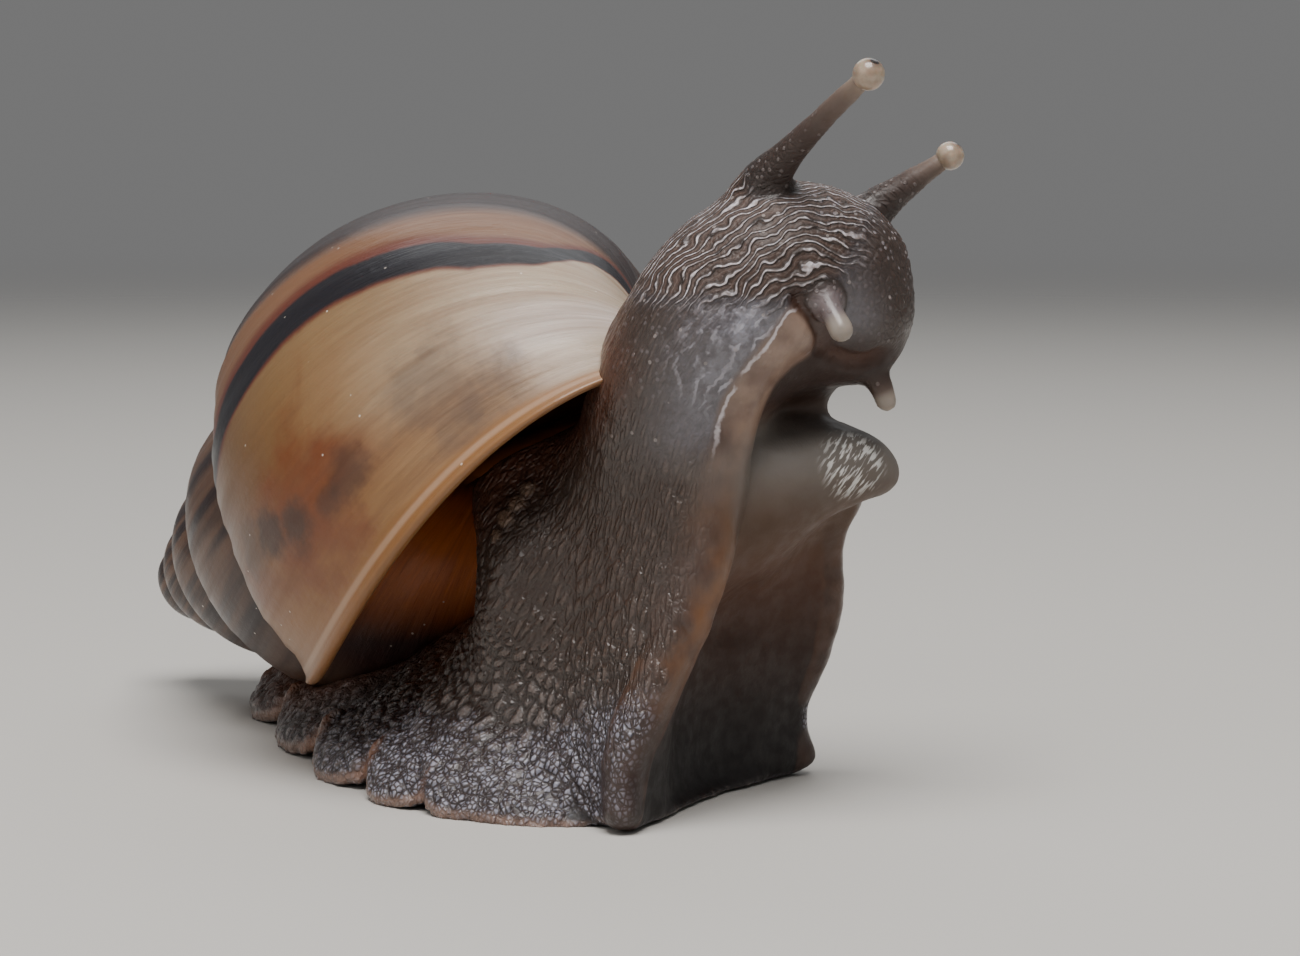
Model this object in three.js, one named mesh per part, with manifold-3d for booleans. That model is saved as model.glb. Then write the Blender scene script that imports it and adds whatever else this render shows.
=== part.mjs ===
// Giant african land snail: a still, life-size model of a feeding animal, in millimetres, +Z up.
// +X is the way the shell's axis and the foot point, +Y is the animal's left, z = 0 is the floor.
// The flesh is lofted in one closed body and parted with thin cuts; the shell is its own solid.
import * as THREE from "three";
import { mergeVertices } from "three/addons/utils/BufferGeometryUtils.js";
import Module from "manifold-3d";

const wasm = await Module();
wasm.setup();

// ---------------------------------------------------------------- driving dimensions (mm, degrees)

const GAP = 0.3; // clearance that touching pieces keep

// shell: a tube of oval section on a logarithmic spiral, apex low behind, mouth to the right
const SHELL = {
  whorls: 4.75,
  growth: 1.768, // how much the section grows in the last whorl
  spireGrowth: 1.534, // and in each early one
  axisDrop: 53.99, // spiral's pole to the middle of the mouth, along the axis
  dropPower: 0.969,
  radius: 10.48, // axis to the middle of the mouth
  halfWidth: 13.25,
  halfHeight: 21.3,
  lean: 0.153, // tilt of the oval section, radians
  slant: -0.39, // growth lines sweep round the axis by this many radians
  wall: 1.0,
  columella: 1.3,
  core: 0.045, // radius of the solid core for each millimetre down from the pole
  coreStart: 10,
  coreEnd: 66,
  cavityTurn: 75, // how far back the hollow goes, degrees
};
const POLE = new THREE.Vector3(-53.85, 3.76, 6.6); // where the spiral would shrink to nothing, past the apex
const AXIS_TURN = 1.05; // azimuth of the shell's axis
const AXIS_RISE = 18.27; // elevation of the shell's axis
const MOUTH_ROLL = 108.94; // the outer lip, turned round the axis from straight up

// foot on the floor: its right and left margins in plan, tail first
const RIGHT_MARGIN = [
  [-39, 5.2], [-36.5, 1.4], [-27, -4.0], [-14, -11.2], [-3, -15.4], [5, -16.8], [12, -15.2], [15.8, -12.2],
];
const LEFT_MARGIN = [
  [-39, 6.2], [-36, 9.4], [-27, 13.0], [-14, 15.6], [-3, 16.6], [3.0, 16.2], [7.0, 14.6], [9.6, 11.8],
];
const FOOT_HEIGHT = [1.8, 4.2, 6.2, 8.5, 12.5, 16, 14, 6]; // height of the ridge, tail first
const FOOT_PROFILE = [0.05, 0.15, 0.32, 0.5, 0.68, 0.85, 0.95]; // places across, as shares of the width
const FRONT_HOLLOW = 10; // the middle of the front end lies this far behind its corners
const HOLLOW_FULLNESS = 0.55; // how square the hollow's ends are: 1 is a half wave
const MARGIN_THICKNESS = 1.5;
const MARGIN_BULGE = 0.01; // the margin's edge stands out by this share of the width
const FRILLS = 7.2; // lobes along each margin, if they went on to the front
const FRILL_PHASE = -0.04; // of a lobe; the lobes meet in notches
const FRILL_DEPTH = 1.1;
const FRILL_SHARPNESS = 0.7;
const FRILL_END = 0.78; // the margin is even from here to the front

// raised front of the foot, from the floor up: centre, facing, half widths, back, rims and trough
const COLUMN = [
  { z: 0, x: 14.5, y: 0.6, face: 17, right: 12.6, left: 11.6, back: 11, rim: 1.0, trough: -3.0 },
  { z: 5, x: 14.2, y: 0.6, face: 17, right: 11.7, left: 10.2, back: 11, rim: 1.6, trough: -3.2 },
  { z: 10, x: 14.2, y: 0.4, face: 16, right: 10.4, left: 10.6, back: 10.4, rim: 3.2, trough: -1.6 },
  { z: 16, x: 14.6, y: -0.2, face: 14, right: 8.6, left: 10.2, back: 10.2, rim: 4.0, trough: 1.6 },
  { z: 22, x: 15.4, y: -0.8, face: 10, right: 6.9, left: 9.4, back: 9.8, rim: 3.8, trough: 3.6 },
  { z: 27, x: 16.0, y: -1.0, face: 6, right: 5.8, left: 8.4, back: 8.4, rim: 3.8, trough: -1.5 },
  { z: 31, x: 16.8, y: -0.8, face: 4, right: 5.2, left: 7.2, back: 7.0, rim: 3.6, trough: -1.5 },
];

// neck and head: path and half sizes of the oval section (across, up)
const NECK = [
  { p: [10.4, -3.6, 18.5], across: 4.2, up: 4.2 },
  { p: [14.0, -3.8, 25.5], across: 5.4, up: 5.4 },
  { p: [17.6, -2.2, 32.2], across: 6.2, up: 6.2 },
  { p: [19.7, 1.2, 35.6], across: 6.2, up: 6.0 },
  { p: [21.4, 4.1, 35.2], across: 6.1, up: 5.8 },
  { p: [22.3, 5.0, 32.0], across: 5.2, up: 4.9 },
];

// rims of the raised sole: path and radius
const RIGHT_RIM = [
  { p: [18.6, -11.7, 1.2], r: 1.2 },
  { p: [18.2, -10.8, 4.8], r: 1.5 },
  { p: [18.8, -8.5, 9.8], r: 1.6 },
  { p: [20.0, -5.2, 17.4], r: 1.6 },
  { p: [20.3, -3.8, 24.4], r: 1.6 },
  { p: [21.5, -3.1, 29.8], r: 1.8 },
  { p: [23.6, -1.2, 32.4], r: 1.8 },
];
const LEFT_RIM = [
  { p: [12.4, 11.6, 1.3], r: 1.3 },
  { p: [11.2, 10.2, 4.6], r: 1.4 },
  { p: [12.9, 11.2, 7.6], r: 1.6 },
  { p: [14.5, 11.3, 12.5], r: 1.6 },
  { p: [15.4, 10.2, 16.6], r: 1.7 },
  { p: [18.0, 8.8, 21.0], r: 2.2 },
];
// stalk of the body, out of the shell's mouth and down into the foot
const STALK = [
  { p: [2.8, -1.8, 21.8], across: 7.6, up: 5.0 },
  { p: [5.4, -2.0, 16.6], across: 9.2, up: 5.4 },
  { p: [5.6, -1.6, 11.5], across: 10.2, up: 5.0 },
  { p: [4.6, -0.4, 5.0], across: 10.6, up: 4.0 },
];
const LOBE = [
  { p: [15.2, 1.6, 20.4], across: 7.2, up: 5.6 },
  { p: [18.8, 4.2, 22.2], across: 5.9, up: 3.9 },
  { p: [21.6, 6.6, 22.7], across: 4.3, up: 2.8 },
  { p: [23.2, 8.0, 22.4], across: 2.5, up: 1.8 },
];

// feelers: path and radius, and the bulb with the eye at the end of the upper ones
const FEELERS = {
  upper_right: {
    path: [[16.8, 0.4, 38.0], [19.6, -0.4, 41.0], [25.2, -1.0, 45.2], [30.4, -1.6, 48.5]],
    radii: [2.9, 1.7, 0.85, 0.62],
    bulb: 1.05,
  },
  upper_left: {
    path: [[18.8, 7.0, 36.8], [20.2, 9.4, 39.2], [22.2, 11.6, 41.4], [24.2, 13.2, 43.2]],
    radii: [2.7, 1.6, 0.9, 0.62],
    bulb: 0.98,
  },
  lower_right: {
    path: [[21.6, 1.4, 35.4], [24.4, 0.0, 35.0], [26.2, -0.5, 33.6], [27.3, -0.6, 32.2]],
    radii: [1.9, 1.2, 0.85, 0.75],
  },
  lower_left: {
    path: [[22.6, 5.0, 31.6], [24.4, 4.6, 30.0], [25.2, 5.2, 28.6], [25.6, 5.6, 27.2]],
    radii: [1.8, 1.1, 0.85, 0.75],
  },
};

// ---------------------------------------------------------------- finishes

const shellFinish = new THREE.MeshStandardMaterial({ color: 0xa87c4c, roughness: 0.35, metalness: 0 });
const skinFinish = new THREE.MeshStandardMaterial({ color: 0x5a4b42, roughness: 0.4, metalness: 0 });
const eyeFinish = new THREE.MeshStandardMaterial({ color: 0xc9b49a, roughness: 0.3, metalness: 0 });

// ---------------------------------------------------------------- helpers

const rad = THREE.MathUtils.degToRad;

// a smooth value through equally spaced samples, u from 0 to 1
function smoothValue(values, u) {
  const last = values.length - 1;
  const at = (i) => values[Math.min(Math.max(i, 0), last)];
  const i = Math.min(Math.floor(u * last), last - 1);
  const t = u * last - i;
  const [a, b, c, d] = [at(i - 1), at(i), at(i + 1), at(i + 2)];
  return b + 0.5 * t * (c - a + t * (2 * a - 5 * b + 4 * c - d + t * (3 * (b - c) + d - a)));
}

// closed surface through rings of equal length, each end closed by a fan
function loft(rings) {
  const sides = rings[0].length;
  const points = rings.flat();
  const centre = (ring) => ring.reduce((sum, p) => sum.add(p), new THREE.Vector3()).divideScalar(sides);
  points.push(centre(rings[0]), centre(rings[rings.length - 1]));
  const faces = [];
  for (let i = 0; i < rings.length - 1; i++) {
    for (let j = 0; j < sides; j++) {
      const [a, b] = [i * sides + j, i * sides + ((j + 1) % sides)];
      faces.push(a, b, a + sides, b, b + sides, a + sides);
    }
  }
  const end = (rings.length - 1) * sides;
  for (let j = 0; j < sides; j++) {
    const next = (j + 1) % sides;
    faces.push(points.length - 2, next, j);
    faces.push(points.length - 1, end + j, end + next);
  }
  const geometry = new THREE.BufferGeometry().setFromPoints(points);
  geometry.setIndex(faces);
  return geometry;
}

function toSolid(geometry) {
  const bare = geometry.clone();
  bare.deleteAttribute("normal");
  bare.deleteAttribute("uv");
  const merged = mergeVertices(bare, 1e-4);
  const vertProperties = merged.attributes.position.array;
  const build = (triVerts) => new wasm.Manifold(new wasm.Mesh({ numProp: 3, vertProperties, triVerts }));
  const solid = build(new Uint32Array(merged.index.array));
  if (solid.volume() > 0) return solid;
  const turned = Array.from(merged.index.array);
  for (let i = 0; i < turned.length; i += 3) {
    [turned[i], turned[i + 1]] = [turned[i + 1], turned[i]];
  }
  return build(new Uint32Array(turned));
}

function toGeometry(solid) {
  const mesh = solid.getMesh();
  const geometry = new THREE.BufferGeometry();
  geometry.setAttribute("position", new THREE.BufferAttribute(new Float32Array(mesh.vertProperties), 3));
  geometry.setIndex(new THREE.BufferAttribute(new Uint32Array(mesh.triVerts), 1));
  geometry.computeVertexNormals();
  return geometry;
}

const join = (solids) => solids.reduce((sum, solid) => sum.add(solid));

// the largest body of a solid, without the slivers that a cut leaves
const largest = (solid) => solid.decompose().reduce((a, b) => (a.volume() > b.volume() ? a : b));

const ROUND_END = [30, 60, 80]; // degrees round the end of a limb
const END_REACH = 0.8; // how far the round end stands out, as a share of the limb's radius

// round or oval tube along a smooth path; sections are { p, across, up } or { p, r }
function limb(sections, { steps, sides }) {
  const curve = new THREE.CatmullRomCurve3(sections.map((s) => new THREE.Vector3(...s.p)));
  const across = sections.map((s) => s.across ?? s.r);
  const up = sections.map((s) => s.up ?? s.r);
  const rings = [];
  const ring = (u, slide, scale) => {
    const tangent = curve.getTangent(u);
    const side = new THREE.Vector3(0, 0, 1).cross(tangent);
    if (side.length() < 0.2) side.set(0, 1, 0);
    side.normalize();
    const lift = tangent.clone().cross(side);
    const centre = curve.getPoint(u).addScaledVector(tangent, slide);
    const loop = [];
    for (let j = 0; j < sides; j++) {
      const a = (2 * Math.PI * j) / sides;
      loop.push(
        centre
          .clone()
          .addScaledVector(side, smoothValue(across, u) * scale * Math.cos(a))
          .addScaledVector(lift, smoothValue(up, u) * scale * Math.sin(a)),
      );
    }
    return loop;
  };
  const size = (u) => Math.min(smoothValue(across, u), smoothValue(up, u));
  for (const a of [...ROUND_END].reverse()) {
    rings.push(ring(0, -size(0) * Math.sin(rad(a)) * END_REACH, Math.cos(rad(a))));
  }
  for (let i = 0; i <= steps; i++) rings.push(ring(i / steps, 0, 1));
  for (const a of ROUND_END) rings.push(ring(1, size(1) * Math.sin(rad(a)) * END_REACH, Math.cos(rad(a))));
  return toSolid(loft(rings));
}

// ---------------------------------------------------------------- shell

const shellAxis = new THREE.Vector3(
  Math.cos(rad(AXIS_RISE)) * Math.cos(rad(AXIS_TURN)),
  Math.cos(rad(AXIS_RISE)) * Math.sin(rad(AXIS_TURN)),
  Math.sin(rad(AXIS_RISE)),
);
const axisUp = new THREE.Vector3(0, 0, 1).addScaledVector(shellAxis, -shellAxis.z).normalize();
const mouthOut = axisUp.clone().applyAxisAngle(shellAxis, rad(MOUTH_ROLL));
const mouthAhead = shellAxis.clone().cross(mouthOut);
const shellFrame = new THREE.Matrix4().makeBasis(mouthOut, mouthAhead, shellAxis).setPosition(POLE);

// size of the section next to the mouth's: the growth eases from its early rate to the last whorl's
function whorlScale(turn) {
  const back = -turn / (2 * Math.PI);
  const early = Math.log(SHELL.spireGrowth);
  const extra = (Math.log(SHELL.growth) - early) / (1 - Math.exp(-1));
  return Math.exp(-(early * back + extra * (1 - Math.exp(-back))));
}

// a point of the spiral tube: turn is 0 at the lip and negative before it, around is the place on the section
function spiralPoint(turn, around, { grow = 0, inner = 0.35 } = {}) {
  const wide = (SHELL.halfWidth + grow) * Math.cos(around);
  const high = (SHELL.halfHeight + grow) * Math.sin(around);
  const swept = turn + SHELL.slant * Math.sin(around);
  const scale = whorlScale(swept);
  const out = SHELL.radius + wide * Math.cos(SHELL.lean) - high * Math.sin(SHELL.lean);
  const along = wide * Math.sin(SHELL.lean) + high * Math.cos(SHELL.lean);
  const r = Math.max(out, inner / scale) * scale;
  return new THREE.Vector3(
    r * Math.cos(swept),
    r * Math.sin(swept),
    along * scale + SHELL.axisDrop * Math.pow(scale, SHELL.dropPower),
  );
}

function spiralPiece(from, to, { step = 15, sides = 22, ...shape } = {}) {
  const count = Math.max(1, Math.round((to - from) / step));
  const rings = [];
  for (let i = 0; i <= count; i++) {
    const turn = rad(from + ((to - from) * i) / count);
    const loop = [];
    for (let j = 0; j < sides; j++) loop.push(spiralPoint(turn, (2 * Math.PI * j) / sides, shape));
    rings.push(loop);
  }
  return toSolid(loft(rings).applyMatrix4(shellFrame));
}

// the tube between two turns, made of lengths short enough not to pass through themselves
function spiral(from, to, shape = {}) {
  const lengths = [];
  const span = 120;
  for (let start = from; start < to - 1; start += span) {
    lengths.push(spiralPiece(start, Math.min(start + span, to), shape));
  }
  return join(lengths);
}

const CORE_STEPS = 10;

// solid core round the axis, which the whorls wind about
function makeCore(grow = 0) {
  const profile = [new THREE.Vector2(0, SHELL.coreStart)];
  for (let s = 1; s < CORE_STEPS; s++) {
    const along = SHELL.coreStart + ((SHELL.coreEnd - SHELL.coreStart) * s) / CORE_STEPS;
    profile.push(new THREE.Vector2(SHELL.core * along + grow, along + grow));
  }
  profile.push(new THREE.Vector2(0, SHELL.coreEnd + grow));
  const lathe = new THREE.LatheGeometry(profile, 12).rotateX(Math.PI / 2);
  return toSolid(lathe.applyMatrix4(shellFrame));
}

function makeShell() {
  const first = -360 * SHELL.whorls;
  const tip = spiral(first, -990, { step: 24, sides: 10 });
  const middle = spiral(-990, -330, { step: 15, sides: 16 });
  const spire = tip.add(middle);
  const outside = spire.add(spiral(-330, 0, { step: 15, sides: 20 })).add(makeCore());
  const inside = { grow: -SHELL.wall, inner: SHELL.columella, step: 24, sides: 14 };
  const hollow = spiral(-SHELL.cavityTurn, 12, inside).subtract(spire);
  return largest(outside.subtract(hollow));
}

// ---------------------------------------------------------------- flesh

function makeFoot() {
  const curve = (list) => new THREE.CatmullRomCurve3(list.map(([x, y]) => new THREE.Vector3(x, y, 0)));
  const [right, left] = [curve(RIGHT_MARGIN), curve(LEFT_MARGIN)];
  const rings = [];
  const stations = 40;
  for (let i = 0; i <= stations; i++) {
    const u = i / stations;
    const height = smoothValue(FOOT_HEIGHT, u);
    const frilled = Math.sqrt(Math.sin(Math.PI * Math.min(1, u / FRILL_END)));
    const lobe = Math.pow(Math.abs(Math.sin(Math.PI * (FRILLS * u + FRILL_PHASE))), FRILL_SHARPNESS);
    const frill = FRILL_DEPTH * frilled * (1 - 2 * lobe);
    const a = right.getPoint(u);
    const b = left.getPoint(u);
    const across = b.clone().sub(a).normalize();
    a.addScaledVector(across, frill);
    b.addScaledVector(across, -frill);
    const loop = [];
    const hollow = FRONT_HOLLOW * Math.pow(u, 4);
    const place = (t, z) => {
      const p = new THREE.Vector3().lerpVectors(a, b, t);
      const wave = Math.max(0, Math.sin(Math.PI * THREE.MathUtils.clamp(t, 0, 1)));
      loop.push(p.set(p.x - hollow * Math.pow(wave, HOLLOW_FULLNESS), p.y, z));
    };
    place(0.0, 0);
    const thick = Math.min(MARGIN_THICKNESS, height / 2);
    place(-MARGIN_BULGE, thick / 2);
    for (const t of FOOT_PROFILE) {
      const edge = Math.abs(2 * t - 1);
      const rise = Math.pow(1 - Math.pow(edge, 1.25), 1.15);
      place(t, thick + (height - thick) * rise);
    }
    place(1 + MARGIN_BULGE, thick / 2);
    place(1.0, 0);
    place(0.5, 0);
    rings.push(loop);
  }
  return toSolid(loft(rings));
}

function makeColumn() {
  const value = (key, u) => smoothValue(COLUMN.map((level) => level[key]), u);
  const rings = [];
  const levels = 10;
  for (let i = 0; i <= levels; i++) {
    const u = i / levels;
    const [right, left, back] = [value("right", u), value("left", u), value("back", u)];
    const [rim, trough] = [value("rim", u), value("trough", u)];
    const outline = [
      [-back, 0], [-0.72 * back, -0.72 * right],
      [0, -right], [0.8 * rim, -0.98 * right], [rim, -0.84 * right],
      [0.6 * rim, -0.6 * right], [trough, 0], [0.6 * rim, 0.6 * left], [rim, 0.84 * left],
      [0.8 * rim, 0.98 * left], [0, left], [-0.72 * back, 0.72 * left],
    ];
    const loop = new THREE.CatmullRomCurve3(outline.map(([f, l]) => new THREE.Vector3(f, l, 0)), true);
    const facing = rad(value("face", u));
    const points = [];
    const sides = 22;
    for (let j = 0; j < sides; j++) {
      const p = loop.getPoint(j / sides).applyAxisAngle(new THREE.Vector3(0, 0, 1), facing);
      points.push(p.add(new THREE.Vector3(value("x", u), value("y", u), value("z", u))));
    }
    rings.push(points);
  }
  return toSolid(loft(rings));
}

function makeFlesh() {
  return join([
    makeFoot(),
    makeColumn(),
    limb(NECK, { steps: 9, sides: 16 }),
    limb(STALK, { steps: 6, sides: 16 }),
    limb(RIGHT_RIM, { steps: 10, sides: 8 }),
    limb(LEFT_RIM, { steps: 9, sides: 8 }),
    limb(LOBE, { steps: 6, sides: 12 }),
  ]);
}

const FEELER_MESH = { steps: 6, sides: 9 };

// a feeler: its stalk from the root plane out, the bulb at its end, and the root that belongs to the head
function makeFeeler({ path, radii, bulb }) {
  const sections = path.map((p, i) => ({ p, r: radii[i] }));
  const wider = path.map((p, i) => ({ p, r: radii[i] + GAP }));
  const whole = limb(sections, FEELER_MESH);
  const [a, b] = [new THREE.Vector3(...path[1]), new THREE.Vector3(...path[2])];
  const along = b.clone().sub(a).normalize();
  const [beyond, root] = part(whole, a, along);
  const room = limb(wider, FEELER_MESH).trimByPlane(along.toArray(), a.dot(along) - GAP / 2);
  if (!bulb) return { stalk: beyond, root, room };
  const end = new THREE.Vector3(...path[path.length - 1]);
  const out = end.clone().sub(b).normalize();
  const ball = new THREE.SphereGeometry(bulb, 12, 7);
  ball.translate(...end);
  const seam = end.clone().addScaledVector(out, -0.7 * bulb);
  const [, stalk] = part(beyond, seam, out);
  const [eye] = part(toSolid(ball), seam, out);
  return { stalk, eye, root, room };
}

// ---------------------------------------------------------------- parting

// cuts a solid in two at a plane, and returns the side ahead of it and the side behind it
function part(solid, point, normal) {
  const n = normal.clone().normalize();
  const offset = n.dot(point);
  return [
    solid.trimByPlane(n.toArray(), offset + GAP / 2),
    solid.trimByPlane(n.clone().negate().toArray(), -offset + GAP / 2),
  ];
}

const CUTS = {
  tail: { at: [-25, 0, 0], normal: [1, 0, 0] },
  foot_rear: { at: [-9, 0, 0], normal: [1, 0.1, 0] },
  foot_front: { at: [12, 0, 11], normal: [-0.12, 0, 1] },
  trunk: { at: [8.4, -8, 15], normal: [1, 0.35, 0.1] },
  neck: { at: [18, 0, 27.7], normal: [0, 0, 1] },
  head: { at: [18.6, 0, 34], normal: [0.55, 0.75, 0.35] },
  lobe: { at: [19, 4.5, 22], normal: [0.6, 0.75, 0.3] },
};

// ---------------------------------------------------------------- the model

const snail = new THREE.Group();
function addPart(name, solid, finish) {
  const mesh = new THREE.Mesh(toGeometry(solid), finish.clone());
  mesh.name = name;
  snail.add(mesh);
}

addPart("shell", makeShell(), shellFinish);

const CLEARANCE = GAP * 1.3; // between the flesh and the shell, with a little for their facets
const NEAR_WHORLS = 2.4; // the whorls that come close to the flesh
const room = spiral(-360 * NEAR_WHORLS, 0, { grow: CLEARANCE, step: 15, sides: 20 }).add(makeCore(CLEARANCE));
let flesh = makeFlesh().subtract(room);
for (const [name, spec] of Object.entries(FEELERS)) {
  const feeler = makeFeeler(spec);
  flesh = flesh.add(feeler.root).subtract(feeler.room);
  addPart(`feeler_${name}`, feeler.stalk, skinFinish);
  if (feeler.eye) addPart(`eye_${name.replace("upper_", "")}`, feeler.eye, eyeFinish);
}

const cut = (solid, name) => {
  const { at, normal } = CUTS[name];
  return part(solid, new THREE.Vector3(...at), new THREE.Vector3(...normal));
};
const [body, tail] = cut(flesh, "tail");
const [front, footRear] = cut(body, "foot_rear");
const [raised, footFront] = cut(front, "foot_front");
const [upright, trunk] = cut(raised, "trunk");
const [upper, lower] = cut(upright, "neck");
const [head, neck] = cut(upper, "head");
const [lobe, column] = cut(lower, "lobe");
const pieces = {
  tail,
  foot_rear: footRear,
  foot_front: footFront,
  trunk,
  foot_raised: column,
  foot_lobe: lobe,
  neck,
  head,
};
for (const [name, solid] of Object.entries(pieces)) {
  addPart(name, largest(solid), skinFinish);
}

// the origin lies on the floor, under the middle of the whole
const middle = new THREE.Box3().setFromObject(snail).getCenter(new THREE.Vector3());
for (const mesh of snail.children) {
  mesh.geometry.translate(-middle.x, -middle.y, 0);
}

export default snail;
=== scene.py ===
"""Giant african land snail, a life-size still model: shell, one skin over all the flesh, and the eyes.

Sizes are millimetres in the solids' own layout, whose origin is moved under the middle of the whole snail.
"""

import math

import bpy
import numpy as np
from mathutils import Matrix, Vector, noise
from mathutils.bvhtree import BVHTree


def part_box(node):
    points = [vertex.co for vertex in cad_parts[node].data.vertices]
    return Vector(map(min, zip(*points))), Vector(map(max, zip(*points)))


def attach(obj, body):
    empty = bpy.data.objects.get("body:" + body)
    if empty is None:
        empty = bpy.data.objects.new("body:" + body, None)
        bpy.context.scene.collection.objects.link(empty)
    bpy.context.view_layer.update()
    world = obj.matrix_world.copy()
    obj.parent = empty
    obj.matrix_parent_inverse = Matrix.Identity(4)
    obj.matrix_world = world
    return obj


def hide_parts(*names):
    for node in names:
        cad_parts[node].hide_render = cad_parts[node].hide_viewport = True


bl_info = {
    "name": "Giant Land Snail",
    "version": (1, 0, 0),
    "blender": (4, 5, 0),
    "location": "View3D > Sidebar > Snail",
    "description": "Builds a life-size giant african land snail on its packed solids",
    "category": "Add Mesh",
}

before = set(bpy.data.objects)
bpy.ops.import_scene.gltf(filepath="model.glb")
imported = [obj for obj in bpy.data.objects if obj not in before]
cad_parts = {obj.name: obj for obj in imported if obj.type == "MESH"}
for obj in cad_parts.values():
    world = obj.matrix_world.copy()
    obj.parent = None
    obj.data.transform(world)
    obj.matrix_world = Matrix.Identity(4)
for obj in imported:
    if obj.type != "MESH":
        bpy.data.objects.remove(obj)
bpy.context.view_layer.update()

# ------------------------------------------------------------------ sizes of the solids

MM = 0.001
EYES = {"right": ((30.4, -1.6, 48.5), 1.05), "left": ((24.2, 13.2, 43.2), 0.98)}
EYE_UPTURN = 0.7  # how far the eye's spot is turned up from the feeler's own direction


def layout_shift():
    """How far the solids' layout was moved to put the origin under the middle, in millimetres."""
    low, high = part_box("eye_right")
    (x, y, _), radius = EYES["right"]
    return np.array([high.x / MM - x - radius, (low.y + high.y) / 2 / MM - y, 0.0])


SHIFT = layout_shift()

SHELL = {  # growths in a turn, turns of lean and slant in radians, and millimetres at the mouth
    "whorls": 4.75,
    "growth": 1.768,
    "spire_growth": 1.534,
    "axis_drop": 53.99,
    "drop_power": 0.969,
    "radius": 10.48,
    "half_width": 13.25,
    "half_height": 21.3,
    "lean": 0.153,
    "slant": -0.39,
}
POLE = np.array([-53.85, 3.76, 6.6])  # where the shell's axis starts, past the apex
AXIS_TURN = 1.05  # the axis and the mouth are turned by these, in degrees
AXIS_RISE = 18.27
MOUTH_ROLL = 108.94
AXIS_GAP = 0.35  # the outside comes no nearer to the axis than this
DARK_BAND = -0.962  # the growth line that the dark band follows, radians before the lip

RIGHT_MARGIN = [  # x and y of the foot's margin on the floor, from the tail to the front
    (-39, 5.2), (-36.5, 1.4), (-27, -4.0), (-14, -11.2), (-3, -15.4), (5, -16.8), (12, -15.2), (15.8, -12.2),
]
LEFT_MARGIN = [
    (-39, 6.2), (-36, 9.4), (-27, 13.0), (-14, 15.6), (-3, 16.6), (3.0, 16.2), (7.0, 14.6), (9.6, 11.8),
]
FOOT_HEIGHT = [1.8, 4.2, 6.2, 8.5, 12.5, 16, 14, 6]  # along the middle, from the tail to the front
MARGIN_THICKNESS = 1.5
FRILLS = 7.2  # lobes of the margin on each side, and where they start
FRILL_PHASE = -0.04
FRILL_DEPTH = 1.1
FRILL_SHARPNESS = 0.7
FRILL_END = 0.78  # share of the margin that is frilled, from the tail
FRILL_LIFT = 1.5  # how far the margin rises off the floor in the notches between its lobes
FRONT_HOLLOW = 10  # how far the front edge is hollowed between the raised rims
HOLLOW_FULLNESS = 0.55

COLUMN = [  # z, x, y, facing in degrees, reach to the right, left and back, then of the rims and the trough
    (0, 14.5, 0.6, 17, 12.6, 11.6, 11, 1.0, -3.0),
    (5, 14.2, 0.6, 17, 11.7, 10.2, 11, 1.6, -3.2),
    (10, 14.2, 0.4, 16, 10.4, 10.6, 10.4, 3.2, -1.6),
    (16, 14.6, -0.2, 14, 8.6, 10.2, 10.2, 4.0, 1.6),
    (22, 15.4, -0.8, 10, 6.9, 9.4, 9.8, 3.8, 3.6),
    (27, 16.0, -1.0, 6, 5.8, 8.4, 8.4, 3.8, -1.5),
    (31, 16.8, -0.8, 4, 5.2, 7.2, 7.0, 3.6, -1.5),
]
NECK = [  # x, y, z, half width across, half height
    (10.4, -3.6, 18.5, 4.2, 4.2),
    (14.0, -3.8, 25.5, 5.4, 5.4),
    (17.6, -2.2, 32.2, 6.2, 6.2),
    (19.7, 1.2, 35.6, 6.2, 6.0),
    (21.4, 4.1, 35.2, 6.1, 5.8),
    (22.3, 5.0, 32.0, 5.2, 4.9),
]
RIGHT_RIM = [  # x, y, z and radius, as for the left rim
    (18.6, -11.7, 1.2, 1.2), (18.2, -10.8, 4.8, 1.5), (18.8, -8.5, 9.8, 1.6), (20.0, -5.2, 17.4, 1.6),
    (20.3, -3.8, 24.4, 1.6), (21.5, -3.1, 29.8, 1.8), (23.6, -1.2, 32.4, 1.8),
]
LEFT_RIM = [
    (12.4, 11.6, 1.3, 1.3), (11.2, 10.2, 4.6, 1.4), (12.9, 11.2, 7.6, 1.6), (14.5, 11.3, 12.5, 1.6),
    (15.4, 10.2, 16.6, 1.7), (18.0, 8.8, 21.0, 2.2),
]
STALK = [  # x, y, z, half width, half height, as for the lobe
    (2.8, -1.8, 21.8, 7.6, 5.0), (5.4, -2.0, 16.6, 9.2, 5.4),
    (5.6, -1.6, 11.5, 10.2, 5.0), (4.6, -0.4, 5.0, 10.6, 4.0),
]
LOBE = [
    (15.2, 1.6, 20.4, 7.2, 5.6), (18.8, 4.2, 22.2, 5.9, 3.9),
    (21.6, 6.6, 22.7, 4.3, 2.8), (23.2, 8.0, 22.4, 2.5, 1.8),
]
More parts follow.
